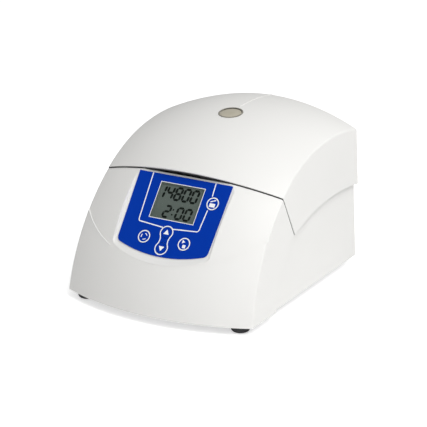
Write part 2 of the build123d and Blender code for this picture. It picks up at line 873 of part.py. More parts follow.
# Control panel: blue overlay, display and keys
with BuildPart() as control_panel:
    extrude(
        panel_outline(
            panel_depth, panel_half_top, panel_half_foot, panel_foot, panel_low,
            panel_top, panel_corner,
        ),
        amount=overlay_thick,
    )
    add(
        panel_block(
            (screen[0][0] - 0.1, screen[0][1] + 0.1), (screen[1][0] - 0.1, screen[1][1] + 0.1),
            (0, panel_depth + 1),
        ),
        mode=Mode.SUBTRACT,
    )
    for x, v, radius in key_places.values():
        add(panel_disc(radius + key_clearance, x, v, (0, panel_depth + 1)), mode=Mode.SUBTRACT)
finish(control_panel.part, "control_panel")

finish(panel_block(screen[0], screen[1], (lens_depth, panel_depth)), "display_lens")
with BuildPart() as display_module:
    add(panel_block(screen[0], screen[1], (panel_depth, board_depth)))
    add(
        panel_block(
            (-screen_width / 2 + 2, screen_width / 2 - 2),
            (screen_foot + 2, screen_foot + screen_height - 2),
            (panel_depth - 1, panel_depth + 0.6),
        ),
        mode=Mode.SUBTRACT,
    )
finish(display_module.part, "display_module")

for name, (x, v, radius) in key_places.items():
    with BuildPart() as key:
        add(panel_disc(radius, x, v, (key_top, key_foot)))
        fillet(edges().sort_by(Axis.Z)[-1], radius=0.3)
        add(panel_disc(radius + 1.2, x, v, (key_foot - key_rim, key_foot)))
    finish(key.part, name)

with BuildPart() as key_switches:
    for x, v, radius in key_places.values():
        add(panel_block((x - 3, x + 3), (v - 3, v + 3), (switch_depth, board_depth)))
        add(panel_disc(1.7, x, v, (plunger_depth, switch_depth)))
finish(key_switches.part, "key_switches")

with BuildPart() as control_board:
    add(panel_block((-board_half, board_half), board_v, (board_depth, board_depth + board_thick)))
    for x, v in board_places:
        add(
            panel_disc(1.4, x, v, (board_depth - 1, board_depth + board_thick + 1)),
            mode=Mode.SUBTRACT,
        )
    add(
        panel_block(
            (-20, 20), (board_v[0] + 4, board_v[0] + 9),
            (board_depth + board_thick, board_depth + board_thick + 5),
        )
    )
finish(control_board.part, "control_board")

with BuildPart() as board_screws:
    for x, v in board_places:
        add(panel_disc(1.3, x, v, (board_depth - 6, board_depth + board_thick)))
        add(
            panel_disc(
                2.4, x, v, (board_depth + board_thick, board_depth + board_thick + 1.6)
            )
        )
    for x, y in drive_places:
        add(tube(1.3, 0, drive_board_z - 6, drive_board_z + board_thick, x, y))
        add(tube(2.4, 0, drive_board_z + board_thick, drive_board_z + board_thick + 1.6, x, y))
finish(board_screws.part, "board_screws")

# Rotor chamber
with BuildPart() as chamber_bowl:
    with BuildSketch(Plane.XZ) as bowl_profile:
        with BuildLine():
            Polyline(
                (spindle_hole, bowl_floor_z - bowl_wall),
                (bowl_radius + bowl_wall, bowl_floor_z - bowl_wall),
                (bowl_radius + bowl_wall, bowl_top_z - bowl_wall),
                (bowl_radius + bowl_flange, bowl_top_z - bowl_wall),
                (bowl_radius + bowl_flange, bowl_top_z),
                (bowl_radius, bowl_top_z),
                (bowl_radius, bowl_floor_z),
                (spindle_hole + bowl_wall, bowl_floor_z),
                (spindle_hole + bowl_wall, bowl_floor_z + 2.5),
                (spindle_hole, bowl_floor_z + 2.5),
                close=True,
            )
        make_face()
        fillet(bowl_profile.vertices().group_by(Axis.X)[-3].group_by(Axis.Y)[0], radius=bowl_corner)
    revolve(axis=Axis.Z)
chamber_part = chamber_bowl.part.moved(Location((0, axis_y, 0)))
finish(chamber_part, "chamber_bowl")

finish(
    tube(bowl_radius + bowl_flange, bowl_radius + bowl_wall + 1.5, deck_z, bowl_top_z - bowl_wall),
    "deck_gasket",
)

# Motor on its sprung plate
with BuildPart() as motor_boot:
    with BuildSketch(Plane.XZ):
        with BuildLine():
            Polyline(
                (boot_radius, motor_top_z), (boot_radius + 2, motor_top_z + 1.1),
                (boot_radius, motor_top_z + 2.2), (boot_radius + 2, motor_top_z + 3.3),
                (boot_radius + 1, bowl_floor_z - bowl_wall),
                (boot_radius - 0.3, bowl_floor_z - bowl_wall),
                (boot_radius + 1, motor_top_z + 3.3), (boot_radius - 1, motor_top_z + 2.2),
                (boot_radius + 1, motor_top_z + 1.1), (boot_radius - 1, motor_top_z),
                close=True,
            )
        make_face()
    revolve(axis=Axis.Z)
finish(motor_boot.part.moved(Location((0, axis_y, 0))), "motor_boot")

damper_places = [
    (damper_circle * cos(radians(angle)), axis_y + damper_circle * sin(radians(angle)))
    for angle in (-90, 30, 150)
]
with BuildPart() as motor_plate:
    with BuildSketch(Plane.XY.offset(motor_foot_z)):
        with Locations((0, axis_y)):
            RegularPolygon(plate_radius, 3, rotation=-90)
        fillet(vertices(), radius=14)
        with Locations(damper_places):
            Circle(damper_bolt_radius + 0.1, mode=Mode.SUBTRACT)
        with Locations((0, axis_y)):
            Circle(motor_radius)
    extrude(amount=plate_thick)
    add(tube(bearing_radius - 2, 0, motor_foot_z - 1, motor_foot_z + 5), mode=Mode.SUBTRACT)
finish(motor_plate.part, "motor_plate")

with BuildPart() as dampers:
    for x, y in damper_places:
        add(tube(damper_radius, 0, foot_height + base_thick, motor_foot_z, x, y))
    fillet(edges(), radius=1.2)
    for x, y in damper_places:
        add(tube(damper_bolt_radius + 0.1, 0, foot_height, motor_foot_z, x, y),
            mode=Mode.SUBTRACT)
finish(dampers.part, "dampers")
finish(
    screws(damper_places, 3.6, damper_bolt_radius, motor_foot_z + plate_thick, 2.2,
           motor_foot_z + plate_thick - foot_height - 0.2),
    "damper_bolts",
)

can_floor_z = motor_foot_z + plate_thick
with BuildPart() as motor_can:
    add(tube(motor_radius, 0, can_floor_z, motor_top_z))
    fillet(edges().group_by(Axis.Z)[-1], radius=2.5)
    add(tube(motor_radius - can_wall, bearing_radius + can_wall, can_floor_z + can_wall,
             motor_top_z - can_wall), mode=Mode.SUBTRACT)
    add(tube(bearing_radius + 6, 0, can_floor_z + bearing_height, motor_top_z - bearing_height - 2),
        mode=Mode.SUBTRACT)
    add(tube(bearing_radius + pin_clearance, 0, can_floor_z - 1, can_floor_z + bearing_height),
        mode=Mode.SUBTRACT)
    add(tube(bearing_radius + pin_clearance, 0, motor_top_z - bearing_height, motor_top_z + 1),
        mode=Mode.SUBTRACT)
    add(tube(bearing_radius - 1.5, 0, can_floor_z, motor_top_z), mode=Mode.SUBTRACT)
finish(motor_can.part, "motor_can")

for name, low in (("lower", can_floor_z), ("upper", motor_top_z - bearing_height)):
    with BuildPart() as bearing:
        add(tube(bearing_radius, spindle_radius + pin_clearance, low, low + bearing_height))
        add(
            tube(bearing_radius - 1.4, spindle_radius + 1.4, low + bearing_height - 0.5,
                 low + bearing_height),
            mode=Mode.SUBTRACT,
        )
    finish(bearing.part, f"bearing_{name}")

with BuildPart() as stator:
    add(tube(motor_radius - can_wall - 0.05, armature_radius + 8, stator_low_z, stator_high_z))
    with BuildSketch(Plane.XY.offset(stator_low_z)):
        with Locations((0, axis_y)):
            with PolarLocations(armature_radius + 5.5, pole_count):
                Rectangle(9, 5)
            with PolarLocations(armature_radius + 1.6, pole_count):
                Rectangle(2, 11)
            Circle(armature_radius + 0.6, mode=Mode.SUBTRACT)
    extrude(amount=stator_high_z - stator_low_z)
finish(stator.part, "stator")

# Spindle with its magnet wheel, angled rotor, cover and clamp nut
with BuildPart() as spindle:
    add(tube(spindle_radius, 0, can_floor_z + 1, spindle_step_z))
    add(tube(thread_radius, 0, spindle_step_z, spindle_top_z))
    chamfer(edges().group_by(Axis.Z)[-1], length=0.6)
finish(spindle.part, "spindle")
finish(
    tube(armature_radius, spindle_radius, can_floor_z + bearing_height + 1.2,
         motor_top_z - bearing_height - 3.2),
    "armature",
)

with BuildPart() as rotor:
    with BuildSketch(Plane.XZ) as rotor_profile:
        with BuildLine():
            Polyline(
                (spindle_radius, rotor_foot_z), (rotor_radius - 12, rotor_foot_z),
                (rotor_radius, rotor_foot_z + 9), (rotor_radius, rotor_foot_z + 13),
                (rotor_rim_radius, rotor_top_z), (rotor_rim_radius - 3, rotor_top_z),
                (rotor_funnel_radius, rotor_hub_z - 3), (spindle_radius + 7, rotor_hub_z - 3),
                (spindle_radius + 5, rotor_hub_z), (spindle_radius, rotor_hub_z),
                close=True,
            )
        make_face()
    revolve(axis=Axis.Z)
    lean_in = radians(well_angle)
    for index in range(well_count):
        turn = 2 * pi * index / well_count
        out = Vector(cos(turn), sin(turn), 0)
        start = out * (mouth_radius - 12 * sin(lean_in)) + Vector(0, 0, mouth_z + 12 * cos(lean_in))
        along = out * sin(lean_in) - Vector(0, 0, cos(lean_in))
        with BuildSketch(Plane(origin=start, z_dir=along)):
            Circle(well_radius)
        extrude(amount=well_length + 12, mode=Mode.SUBTRACT)
finish(rotor.part.moved(Location((0, axis_y, 0))), "rotor")

with BuildPart() as rotor_cover:
    add(tube(cover_radius, thread_radius + 0.4, rotor_top_z, rotor_top_z + 2))
    fillet(edges().group_by(Axis.Z)[-1].sort_by(Axis.X)[0], radius=0.8)
    add(tube(thread_radius + 5, thread_radius + 0.4, rotor_hub_z, rotor_top_z))
    add(tube(cover_radius - 6, cover_radius - 7.5, rotor_top_z - 2, rotor_top_z))
finish(rotor_cover.part, "rotor_cover")

with BuildPart() as clamp_nut:
    with BuildSketch(Plane.XY.offset(rotor_top_z + 2.3)):
        with Locations((0, axis_y)):
            Circle(nut_radius)
            with PolarLocations(nut_radius + 0.6, nut_grips):
                Circle(1.5, mode=Mode.SUBTRACT)
            Circle(thread_radius + pin_clearance, mode=Mode.SUBTRACT)
    extrude(amount=nut_height)
finish(clamp_nut.part, "clamp_nut")

# Sheet base with studs for the drive board
with BuildPart() as base_hood:
    extrude(
        hood_profile(lid_gap + wall + base_clearance, front_arc_radius + 40, foot_height - 12),
        amount=casing_width, both=True,
    )
    add(leaning_slab(wall + base_clearance, -20, 200, -200, 200), mode=Mode.INTERSECT)
    add(front_skin(-wall - facet_set_back - base_clearance, 60), mode=Mode.SUBTRACT)

with BuildPart() as base_rear:
    extrude(
        rear_profile(
            lid_gap + wall, cheek_foot_y - 15, foot_height - 12,
            rear_face_y - wall - base_clearance,
        ),
        amount=casing_width, both=True,
    )
    add(leaning_slab(rear_step + wall + base_clearance, -20, 200, -200, 200),
        mode=Mode.INTERSECT)

base_top_z = foot_height + base_thick
with BuildPart() as base_plate:
    add(base_hood)
    add(base_rear)
    add(block((-120, 120), (-130, 130), (foot_height, base_top_z)), mode=Mode.INTERSECT)
    for x, y in drive_places:
        add(tube(3, 1.4, base_top_z, drive_board_z, x, y))
    for x, y in boss_places:
        add(tube(screw_radius + 0.1, 0, foot_height, base_top_z, x, y), mode=Mode.SUBTRACT)
        add(tube(head_radius + 0.1, 0, foot_height, foot_height + 1.2, x, y),
            mode=Mode.SUBTRACT)
    for x, y in foot_places:
        add(tube(screw_radius + 0.1, 0, foot_height, base_top_z, x, y), mode=Mode.SUBTRACT)
    for x, y in damper_places:
        add(tube(damper_bolt_radius + 0.1, 0, foot_height, base_top_z, x, y),
            mode=Mode.SUBTRACT)
    with BuildSketch(Plane.XY.offset(foot_height)):
        with Locations((0, -50)):
            with GridLocations(0, 7, 1, 5):
                SlotOverall(70, 3)
    extrude(amount=base_thick, mode=Mode.SUBTRACT)
finish(base_plate.part, "base_plate")

foot_names = ("front_left", "front_right", "rear_left", "rear_right")
for name, (x, y) in zip(foot_names, foot_places):
    with BuildPart() as foot:
        add(tube(foot_radius, 0, 0, foot_height, x, y))
        fillet(edges().group_by(Axis.Z)[0], radius=3.5)
        add(tube(head_radius + 0.6, 0, 0, foot_sink, x, y), mode=Mode.SUBTRACT)
        add(tube(screw_radius + 0.1, 0, 0, foot_height, x, y), mode=Mode.SUBTRACT)
    finish(foot.part, f"foot_{name}")
finish(
    screws(foot_places, head_radius, screw_radius, foot_sink, -1.4, foot_height - foot_sink + 1.8),
    "foot_screws",
)
finish(
    screws(boss_places, head_radius, screw_radius, foot_height + 1.2, -1.2, 12), "housing_screws"
)

# Drive board with its parts
with BuildPart() as drive_board:
    add(block((-drive_half, drive_half), drive_y, (drive_board_z, drive_board_z + board_thick)))
    for x, y in drive_places:
        add(tube(1.4, 0, drive_board_z - 1, drive_board_z + 4, x, y), mode=Mode.SUBTRACT)
    add(block((30, 52), (-78, -56), (drive_board_z + board_thick, drive_board_z + 20)))
    add(block((-60, -30), (-40, -34), (drive_board_z + board_thick, drive_board_z + 10)))
finish(drive_board.part, "drive_board")

with BuildPart() as heat_sink:
    add(block((-25, 25), (-46, -30), (drive_board_z + board_thick, drive_board_z + 5)))
    for index in range(sink_fins):
        fin_x = -25 + index * (50 - 1.6) / (sink_fins - 1)
        add(block((fin_x, fin_x + 1.6), (-46, -30), (drive_board_z + 5, drive_board_z + 26)))
finish(heat_sink.part, "heat_sink")

with BuildPart() as capacitors:
    for x in (-52, -26):
        add(tube(10, 0, drive_board_z + board_thick, drive_board_z + 28, x, -68))
    fillet(edges().group_by(Axis.Z)[-1], radius=1)
finish(capacitors.part, "capacitors")

# Power inlet with its fuse drawer, and the mains switch
with BuildPart() as power_inlet:
    inlet_half = inlet_width / 2 - 0.2
    inlet_rise = inlet_height / 2 - 0.2
    add(block((inlet_x - inlet_half, inlet_x + inlet_half), (rear_inner_y - 22, rear_face_y),
              (inlet_z - inlet_rise, inlet_z + inlet_rise)))
    add(block((inlet_x - inlet_half - 2, inlet_x + inlet_half + 2),
              (rear_face_y, rear_face_y + flange_thick),
              (inlet_z - inlet_rise - 2, inlet_z + inlet_rise + 2)))
    with BuildSketch(Plane.XZ.offset(-rear_face_y - 10)):
        with Locations((inlet_x, inlet_z + 5)):
            Rectangle(22.6, 15.4)
            chamfer(vertices().group_by(Axis.Z)[-1], length=4)
    extrude(amount=10 + socket_depth - flange_thick, mode=Mode.SUBTRACT)
    add(block((inlet_x - drawer_half - 0.3, inlet_x + drawer_half + 0.3),
              (rear_inner_y - 17, rear_face_y + 10), (drawer_z[0] - 0.3, drawer_z[1] + 0.3)),
        mode=Mode.SUBTRACT)
finish(power_inlet.part, "power_inlet")

socket_floor_y = rear_face_y + flange_thick - socket_depth
with BuildPart() as inlet_pins:
    for x, z in ((-7, 2.5), (7, 2.5), (0, 6.5)):
        add(block((inlet_x + x - 1, inlet_x + x + 1), (socket_floor_y, socket_floor_y + 14),
                  (inlet_z + z - 2, inlet_z + z + 2)))
finish(inlet_pins.part, "inlet_pins")

with BuildPart() as fuse_drawer:
    add(block((inlet_x - drawer_half, inlet_x + drawer_half),
              (rear_inner_y - 16, rear_face_y + flange_thick), drawer_z))
    add(block((inlet_x - drawer_half + 1, inlet_x + drawer_half - 1),
              (rear_inner_y - 15, rear_face_y - 3), (drawer_z[0] + 1, drawer_z[1] + 1)),
        mode=Mode.SUBTRACT)
finish(fuse_drawer.part, "fuse_drawer")

with BuildPart() as power_switch:
    frame_half = switch_width / 2 - 0.2
    frame_rise = switch_height / 2 - 0.2
    add(block((switch_x - frame_half, switch_x + frame_half), (rear_inner_y - 12, rear_face_y),
              (switch_z - frame_rise, switch_z + frame_rise)))
    add(block((switch_x - frame_half - 1.8, switch_x + frame_half + 1.8),
              (rear_face_y, rear_face_y + flange_thick - 0.6),
              (switch_z - frame_rise - 1.8, switch_z + frame_rise + 1.8)))
    add(block((switch_x - rocker_half - 1.2, switch_x + rocker_half + 1.2),
              (rear_inner_y - 9, rear_face_y + 5),
              (switch_z - rocker_rise - 0.3, switch_z + rocker_rise + 0.3)),
        mode=Mode.SUBTRACT)
    with Locations((switch_x, rocker_y, switch_z)):
        Cylinder(rocker_pin + pin_clearance, 2 * rocker_rise + 2.6, mode=Mode.SUBTRACT)
finish(power_switch.part, "power_switch")

with BuildPart() as power_rocker:
    rocker_plane = Plane(
        origin=(switch_x, rocker_y, switch_z - rocker_rise),
        x_dir=(cos(radians(rocker_rest)), sin(radians(rocker_rest)), 0), z_dir=(0, 0, 1),
    )
    with BuildSketch(rocker_plane):
        with BuildLine():
            Polyline(
                (-rocker_half, 5.2), (0, 3.8), (rocker_half, 5.2), (rocker_half, 1.5),
                (3.5, -4), (-3.5, -4), (-rocker_half, 1.5), close=True,
            )
        make_face()
    extrude(amount=2 * rocker_rise)
    with Locations((switch_x, rocker_y, switch_z)):
        Cylinder(rocker_pin, 2 * rocker_rise + 2)
finish(power_rocker.part, "power_rocker")
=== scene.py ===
# %% [markdown]
# # A bench microcentrifuge
#
# The solids of this machine come from its construction model: casing, lid, rotor, motor, keys.
# Here they are dressed. Curved skins are smoothed, printed signs, display digits and thin lines
# of painted shade and highlight are modelled, and every surface gets a procedural finish. First
# the imported model is loaded as a fixed frame.

# %% Load the frame
import bpy
import json
from math import atan2, cos, pi, radians, sin, sqrt, tan
from mathutils import Matrix, Vector


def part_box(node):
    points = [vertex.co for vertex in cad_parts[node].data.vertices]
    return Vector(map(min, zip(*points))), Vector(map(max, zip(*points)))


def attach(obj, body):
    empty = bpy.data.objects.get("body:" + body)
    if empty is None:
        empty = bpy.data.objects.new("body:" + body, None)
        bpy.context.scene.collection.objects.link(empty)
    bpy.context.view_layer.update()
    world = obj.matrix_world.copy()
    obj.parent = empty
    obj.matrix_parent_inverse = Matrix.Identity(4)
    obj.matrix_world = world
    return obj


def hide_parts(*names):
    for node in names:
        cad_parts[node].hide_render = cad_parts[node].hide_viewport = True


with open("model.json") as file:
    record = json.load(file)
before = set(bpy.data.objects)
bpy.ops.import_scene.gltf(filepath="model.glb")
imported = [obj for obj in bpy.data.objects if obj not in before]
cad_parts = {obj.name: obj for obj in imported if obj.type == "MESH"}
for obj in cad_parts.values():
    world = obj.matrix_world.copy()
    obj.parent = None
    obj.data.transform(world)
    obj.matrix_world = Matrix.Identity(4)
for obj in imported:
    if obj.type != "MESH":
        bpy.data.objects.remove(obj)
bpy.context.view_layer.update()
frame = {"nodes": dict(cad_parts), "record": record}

# %% [markdown]
# ## Camera
#
# The photograph was taken from far away with a long lens, 30 degrees round to the right and 20
# degrees above the bench. The camera is set from three directions that are at right angles:
# right, up and back. A long lens keeps the two sides of the machine nearly parallel.

# %% Camera
CAMERA_PLACE = Vector((0.91672, -1.55686, 0.71587))
CAMERA_RIGHT = Vector((0.86332, 0.50463, -0.00509))
CAMERA_UP = Vector((-0.16475, 0.29136, 0.94232))
CAMERA_BACK = Vector((0.477, -0.81269, 0.33467))
LENS_MM = 160.4

camera_data = bpy.data.cameras.new("camera")
camera_data.lens = LENS_MM
camera_data.sensor_width = 36
camera_data.clip_start = 0.05
camera_data.clip_end = 20
camera = bpy.data.objects.new("camera", camera_data)
bpy.context.scene.collection.objects.link(camera)
turn = Matrix((CAMERA_RIGHT, CAMERA_UP, CAMERA_BACK)).transposed().to_4x4()
camera.matrix_world = Matrix.Translation(CAMERA_PLACE) @ turn
bpy.context.scene.camera = camera
bpy.context.scene.view_settings.view_transform = "Standard"
print("camera at", tuple(round(c, 3) for c in CAMERA_PLACE))

# %% [markdown]
# ## Light
#
# White plastic shows its form only by soft changes of tone, so the light is broad: a large lamp
# high on the right, a weaker one in front, one behind and a pale surrounding. The left of the
# crowned front turns away from all three and gets darker, as in the photograph. The background
# is white to the camera, and its strength on the machine itself is set apart from that with
# Light Path, so that white parts don't wash out.

# %% Lights and surroundings
AMBIENT = 0.34
FLOOR_GLOW = 0.55
LAMPS = {
    "key_lamp": ((0.9, -0.35, 1.5), 1.3, 21.5),
    "front_lamp": ((0.75, -1.6, 0.6), 1.2, 5.5),
    "rear_lamp": ((0.5, 1.4, 1.1), 1.2, 5.0),
}
# Each lamp has its place and size in metres and its power in watts
TARGET = Vector((0.0, 0.0, 0.08))

for name, (place, size, power) in LAMPS.items():
    lamp_data = bpy.data.lights.new(name, "AREA")
    lamp_data.size = size
    lamp_data.energy = power
    lamp = bpy.data.objects.new(name, lamp_data)
    lamp.location = place
    lamp.rotation_euler = (Vector(place) - TARGET).to_track_quat("Z", "Y").to_euler()
    bpy.context.scene.collection.objects.link(lamp)

world = bpy.data.worlds.new("surroundings")
bpy.context.scene.world = world
world.use_nodes = True
tree = world.node_tree
tree.nodes.clear()
path = tree.nodes.new("ShaderNodeLightPath")
seen = tree.nodes.new("ShaderNodeMath")
seen.operation = "MAXIMUM"
tree.links.new(path.outputs["Is Camera Ray"], seen.inputs[0])
tree.links.new(path.outputs["Is Transmission Ray"], seen.inputs[1])
strength = tree.nodes.new("ShaderNodeMapRange")
strength.inputs["To Min"].default_value = AMBIENT
strength.inputs["To Max"].default_value = 1.0
tree.links.new(seen.outputs[0], strength.inputs["Value"])
glow = tree.nodes.new("ShaderNodeBackground")
glow.inputs["Color"].default_value = (1, 1, 1, 1)
tree.links.new(strength.outputs["Result"], glow.inputs["Strength"])
world_end = tree.nodes.new("ShaderNodeOutputWorld")
tree.links.new(glow.outputs[0], world_end.inputs["Surface"])
print("lamps:", len(LAMPS), "surroundings:", AMBIENT)

# %% [markdown]
# ## Writing finishes as sums
#
# Shader maths is easier to read as an expression than as a web of nodes. `Wire` wraps a socket,
# and each operator on it adds one Math node. `Finish` makes a material with one Principled
# shader and gives short calls for the nodes that patterns are made of. Blender names some
# inputs twice, as on the Mix node, so an input may also be given by its number, such as n6.

# %% Wire and Finish
class Wire:
    """A number or colour that flows between shader nodes."""

    def __init__(self, tree, socket):
        self.tree = tree
        self.socket = socket

    def _math(self, operation, first, second):
        node = self.tree.nodes.new("ShaderNodeMath")
        node.operation = operation
        for slot, value in zip(node.inputs, (first, second)):
            if isinstance(value, Wire):
                self.tree.links.new(value.socket, slot)
            else:
                slot.default_value = value
        return Wire(self.tree, node.outputs[0])

    def __add__(self, other):
        return self._math("ADD", self, other)

    def __radd__(self, other):
        return self._math("ADD", other, self)

    def __sub__(self, other):
        return self._math("SUBTRACT", self, other)

    def __rsub__(self, other):
        return self._math("SUBTRACT", other, self)

    def __mul__(self, other):
        return self._math("MULTIPLY", self, other)

    def __rmul__(self, other):
        return self._math("MULTIPLY", other, self)


class Finish:
    """A material with one Principled shader, built from patterns on Object coordinates."""

    def __init__(self, name, color, roughness, metallic=0.0, **constants):
        self.material = bpy.data.materials.new(name)
        self.material.use_nodes = True
        self.tree = self.material.node_tree
        self.shader = self.tree.nodes["Principled BSDF"]
        self.shader.inputs["Base Color"].default_value = (*color, 1)
        self.shader.inputs["Roughness"].default_value = roughness
        self.shader.inputs["Metallic"].default_value = metallic
        for label, value in constants.items():
            self.shader.inputs[label.replace("_", " ")].default_value = value
        self.place = self.node("ShaderNodeTexCoord", out="Object")

    def node(self, kind, settings=None, out=0, **inputs):
        """Add a node: settings first, then its inputs, and give back one output."""
        node = self.tree.nodes.new(kind)
        for label, value in (settings or {}).items():
            if label == "stops":
                ramp = node.color_ramp
                while len(ramp.elements) < len(value):
                    ramp.elements.new(0.5)
                for element, (place, color) in zip(ramp.elements, value):
                    element.position = place
                    element.color = color
            else:
                setattr(node, label, value)
        for label, value in inputs.items():
            name = label.replace("_", " ")
            slot = node.inputs[int(name[1:])] if name[0] == "n" and name[1:].isdigit() else (
                node.inputs[name]
            )
            if isinstance(value, Wire):
                self.tree.links.new(value.socket, slot)
            else:
                slot.default_value = value
        return Wire(self.tree, node.outputs[out])

    def noise(self, scale, detail=3.0, rough=0.5, stretch=None):
        """Noise at a scale in cells per metre, between 0 and 1."""
        vector = self.place
        if stretch:
            vector = self.node("ShaderNodeMapping", Vector=self.place, Scale=stretch)
        return self.node(
            "ShaderNodeTexNoise", Vector=vector, Scale=scale, Detail=detail, Roughness=rough
        )

    def blend(self, factor, first, second):
        """Colour between two colours."""
        return self.node(
            "ShaderNodeMix", {"data_type": "RGBA"}, out=2,
            n0=factor, n6=(*first, 1) if not isinstance(first, Wire) else first,
            n7=(*second, 1) if not isinstance(second, Wire) else second,
        )

    def feed(self, **sockets):
        """Link wires to the shader's inputs."""
        for label, wire in sockets.items():
            self.tree.links.new(wire.socket, self.shader.inputs[label.replace("_", " ")])
        return self

    def bump(self, height, strength, distance):
        """Relief from a height wire, in metres of distance."""
        normal = self.node(
            "ShaderNodeBump", Strength=strength, Distance=distance, Height=height
        )
        self.tree.links.new(normal.socket, self.shader.inputs["Normal"])
        return self


FINISHES = {}
print("finish tools ready")

# %% [markdown]
# ## Moulded casing
#
# The casing and lid are moulded in white ABS. Its surface is spark-eroded: a very fine, even
# grain that makes the plastic satin. Real mouldings also vary a little in tone over their
# length. The grain is a small bump, the tone a slow noise of a percent or two. A paler white
# serves as a painted highlight along the crease on the front. The inner pan of the lid is a light
# grey.

# %% Casing plastic
casing = Finish("casing_white", (0.80, 0.795, 0.775), 0.42, IOR=1.46)
casing_tone = casing.noise(9, detail=2)
casing.feed(Base_Color=casing.blend(casing_tone, (0.79, 0.785, 0.765), (0.815, 0.81, 0.79)))
casing_grain = casing.noise(2600, detail=2)
casing.feed(Roughness=0.38 + 0.10 * casing_grain)
casing.bump(casing_grain, 0.10, 0.00005)
FINISHES["casing"] = casing

# Painted highlight: a paler white than the casing, for the line along the front crease
crease = Finish("crease_painted_highlight", (0.95, 0.95, 0.94), 0.4, IOR=1.46)
crease.feed(Base_Color=crease.blend(crease.noise(60), (0.93, 0.93, 0.92), (0.97, 0.97, 0.96)))
FINISHES["crease"] = crease

liner = Finish("liner_grey", (0.62, 0.63, 0.64), 0.5, IOR=1.46)
liner_grain = liner.noise(1400, detail=3)
liner.feed(Base_Color=liner.blend(liner_grain, (0.58, 0.59, 0.60), (0.66, 0.67, 0.68)))
liner.feed(Roughness=0.45 + 0.15 * liner_grain)
liner.bump(liner_grain, 0.15, 0.00008)
FINISHES["liner"] = liner
print("casing and liner plastics")

# %% [markdown]
# ## Printed panel film
#
# The control panel is a thin polyester film, printed blue from behind. Its front has a fine
# matt texture. The white lines and signs are printed too, so they get the same roughness, and
# the liquid crystal is a greenish grey that varies slightly in tone.

# %% Panel, print and display
film = Finish("panel_blue", (0.001, 0.036, 0.36), 0.45, IOR=1.4, Specular_IOR_Level=0.06)
film_tone = film.noise(30, detail=2)
film.feed(Base_Color=film.blend(film_tone, (0.001, 0.033, 0.345), (0.001, 0.040, 0.385)))
film_grain = film.noise(3500, detail=1)
film.feed(Roughness=0.40 + 0.12 * film_grain)
film.bump(film_grain, 0.08, 0.00003)
FINISHES["film"] = film

ink = Finish("print_white", (0.85, 0.86, 0.88), 0.4, IOR=1.5)
ink_grain = ink.noise(5000, detail=2)
ink.feed(Base_Color=ink.blend(ink_grain, (0.88, 0.89, 0.91), (0.95, 0.95, 0.96)))
ink.feed(Roughness=0.35 + 0.15 * ink_grain)
FINISHES["ink"] = ink

crystal = Finish("display_crystal", (0.11, 0.135, 0.12), 0.45, IOR=1.4,
                 Specular_IOR_Level=0.1)
crystal_tone = crystal.noise(60, detail=2)
crystal.feed(Base_Color=crystal.blend(crystal_tone, (0.100, 0.124, 0.110), (0.128, 0.156, 0.139)))
crystal.feed(Roughness=0.30 + 0.15 * crystal.noise(900))
FINISHES["crystal"] = crystal

digit = Finish("display_digit", (0.006, 0.008, 0.007), 0.5, IOR=1.4,
               Specular_IOR_Level=0.05)
digit_tone = digit.noise(700, detail=2)
digit.feed(Base_Color=digit.blend(digit_tone, (0.004, 0.006, 0.005), (0.009, 0.012, 0.010)))
FINISHES["digit"] = digit

lens_glass = Finish("display_window", (0.02, 0.025, 0.025), 0.1, IOR=1.3, Alpha=0.03,
                    Specular_IOR_Level=0.05)
lens_smear = lens_glass.noise(120, detail=3)
lens_glass.feed(Roughness=0.04 + 0.08 * lens_smear)
FINISHES["lens"] = lens_glass

tan_glass = Finish("sight_glass", (0.50, 0.46, 0.36), 0.12, IOR=1.49, Alpha=0.92,
                   Coat_Weight=0.6, Coat_Roughness=0.05)
tan_tone = tan_glass.noise(90, detail=2)
tan_glass.feed(Base_Color=tan_glass.blend(tan_tone, (0.46, 0.42, 0.32), (0.58, 0.54, 0.44)))
tan_glass.feed(Roughness=0.10 + 0.08 * tan_tone)
FINISHES["sight"] = tan_glass

rim = Finish("sight_rim", (0.34, 0.32, 0.26), 0.25, IOR=1.49)
rim_tone = rim.noise(200, detail=2)
rim.feed(Base_Color=rim.blend(rim_tone, (0.20, 0.19, 0.16), (0.30, 0.285, 0.24)))
rim.feed(Roughness=0.2 + 0.12 * rim_tone)
FINISHES["rim"] = rim

clear = Finish("clear_pane", (0.85, 0.88, 0.88), 0.05, IOR=1.49, Alpha=0.25)
clear.feed(Roughness=0.03 + 0.08 * clear.noise(150))
FINISHES["clear"] = clear
print("film, print, display and glass")

# %% [markdown]
# ## Dark plastics, rubber and board
#
# Rubber feet and seals are nearly black and quite rough, with a dusty bloom. Black fittings at
# the rear are glass-filled nylon with a coarser grain. Circuit boards are green solder mask
# with copper tracks that show through as a slightly lighter pattern.

# %% Dark plastics, rubber and board
rubber = Finish("foot_rubber", (0.022, 0.022, 0.024), 0.7, IOR=1.5)
rubber_bloom = rubber.noise(160, detail=4, rough=0.6)
rubber.feed(Base_Color=rubber.blend(rubber_bloom, (0.014, 0.014, 0.016), (0.040, 0.040, 0.042)))
rubber.feed(Roughness=0.50 + 0.30 * rubber_bloom)
rubber.bump(rubber.noise(2200, detail=2), 0.20, 0.0001)
FINISHES["rubber"] = rubber

nylon = Finish("fitting_black", (0.018, 0.018, 0.019), 0.45, IOR=1.5)
nylon_grain = nylon.noise(1800, detail=3)
nylon.feed(Base_Color=nylon.blend(nylon_grain, (0.014, 0.014, 0.015), (0.028, 0.028, 0.030)))
nylon.feed(Roughness=0.38 + 0.20 * nylon_grain)
nylon.bump(nylon_grain, 0.2, 0.00008)
FINISHES["nylon"] = nylon

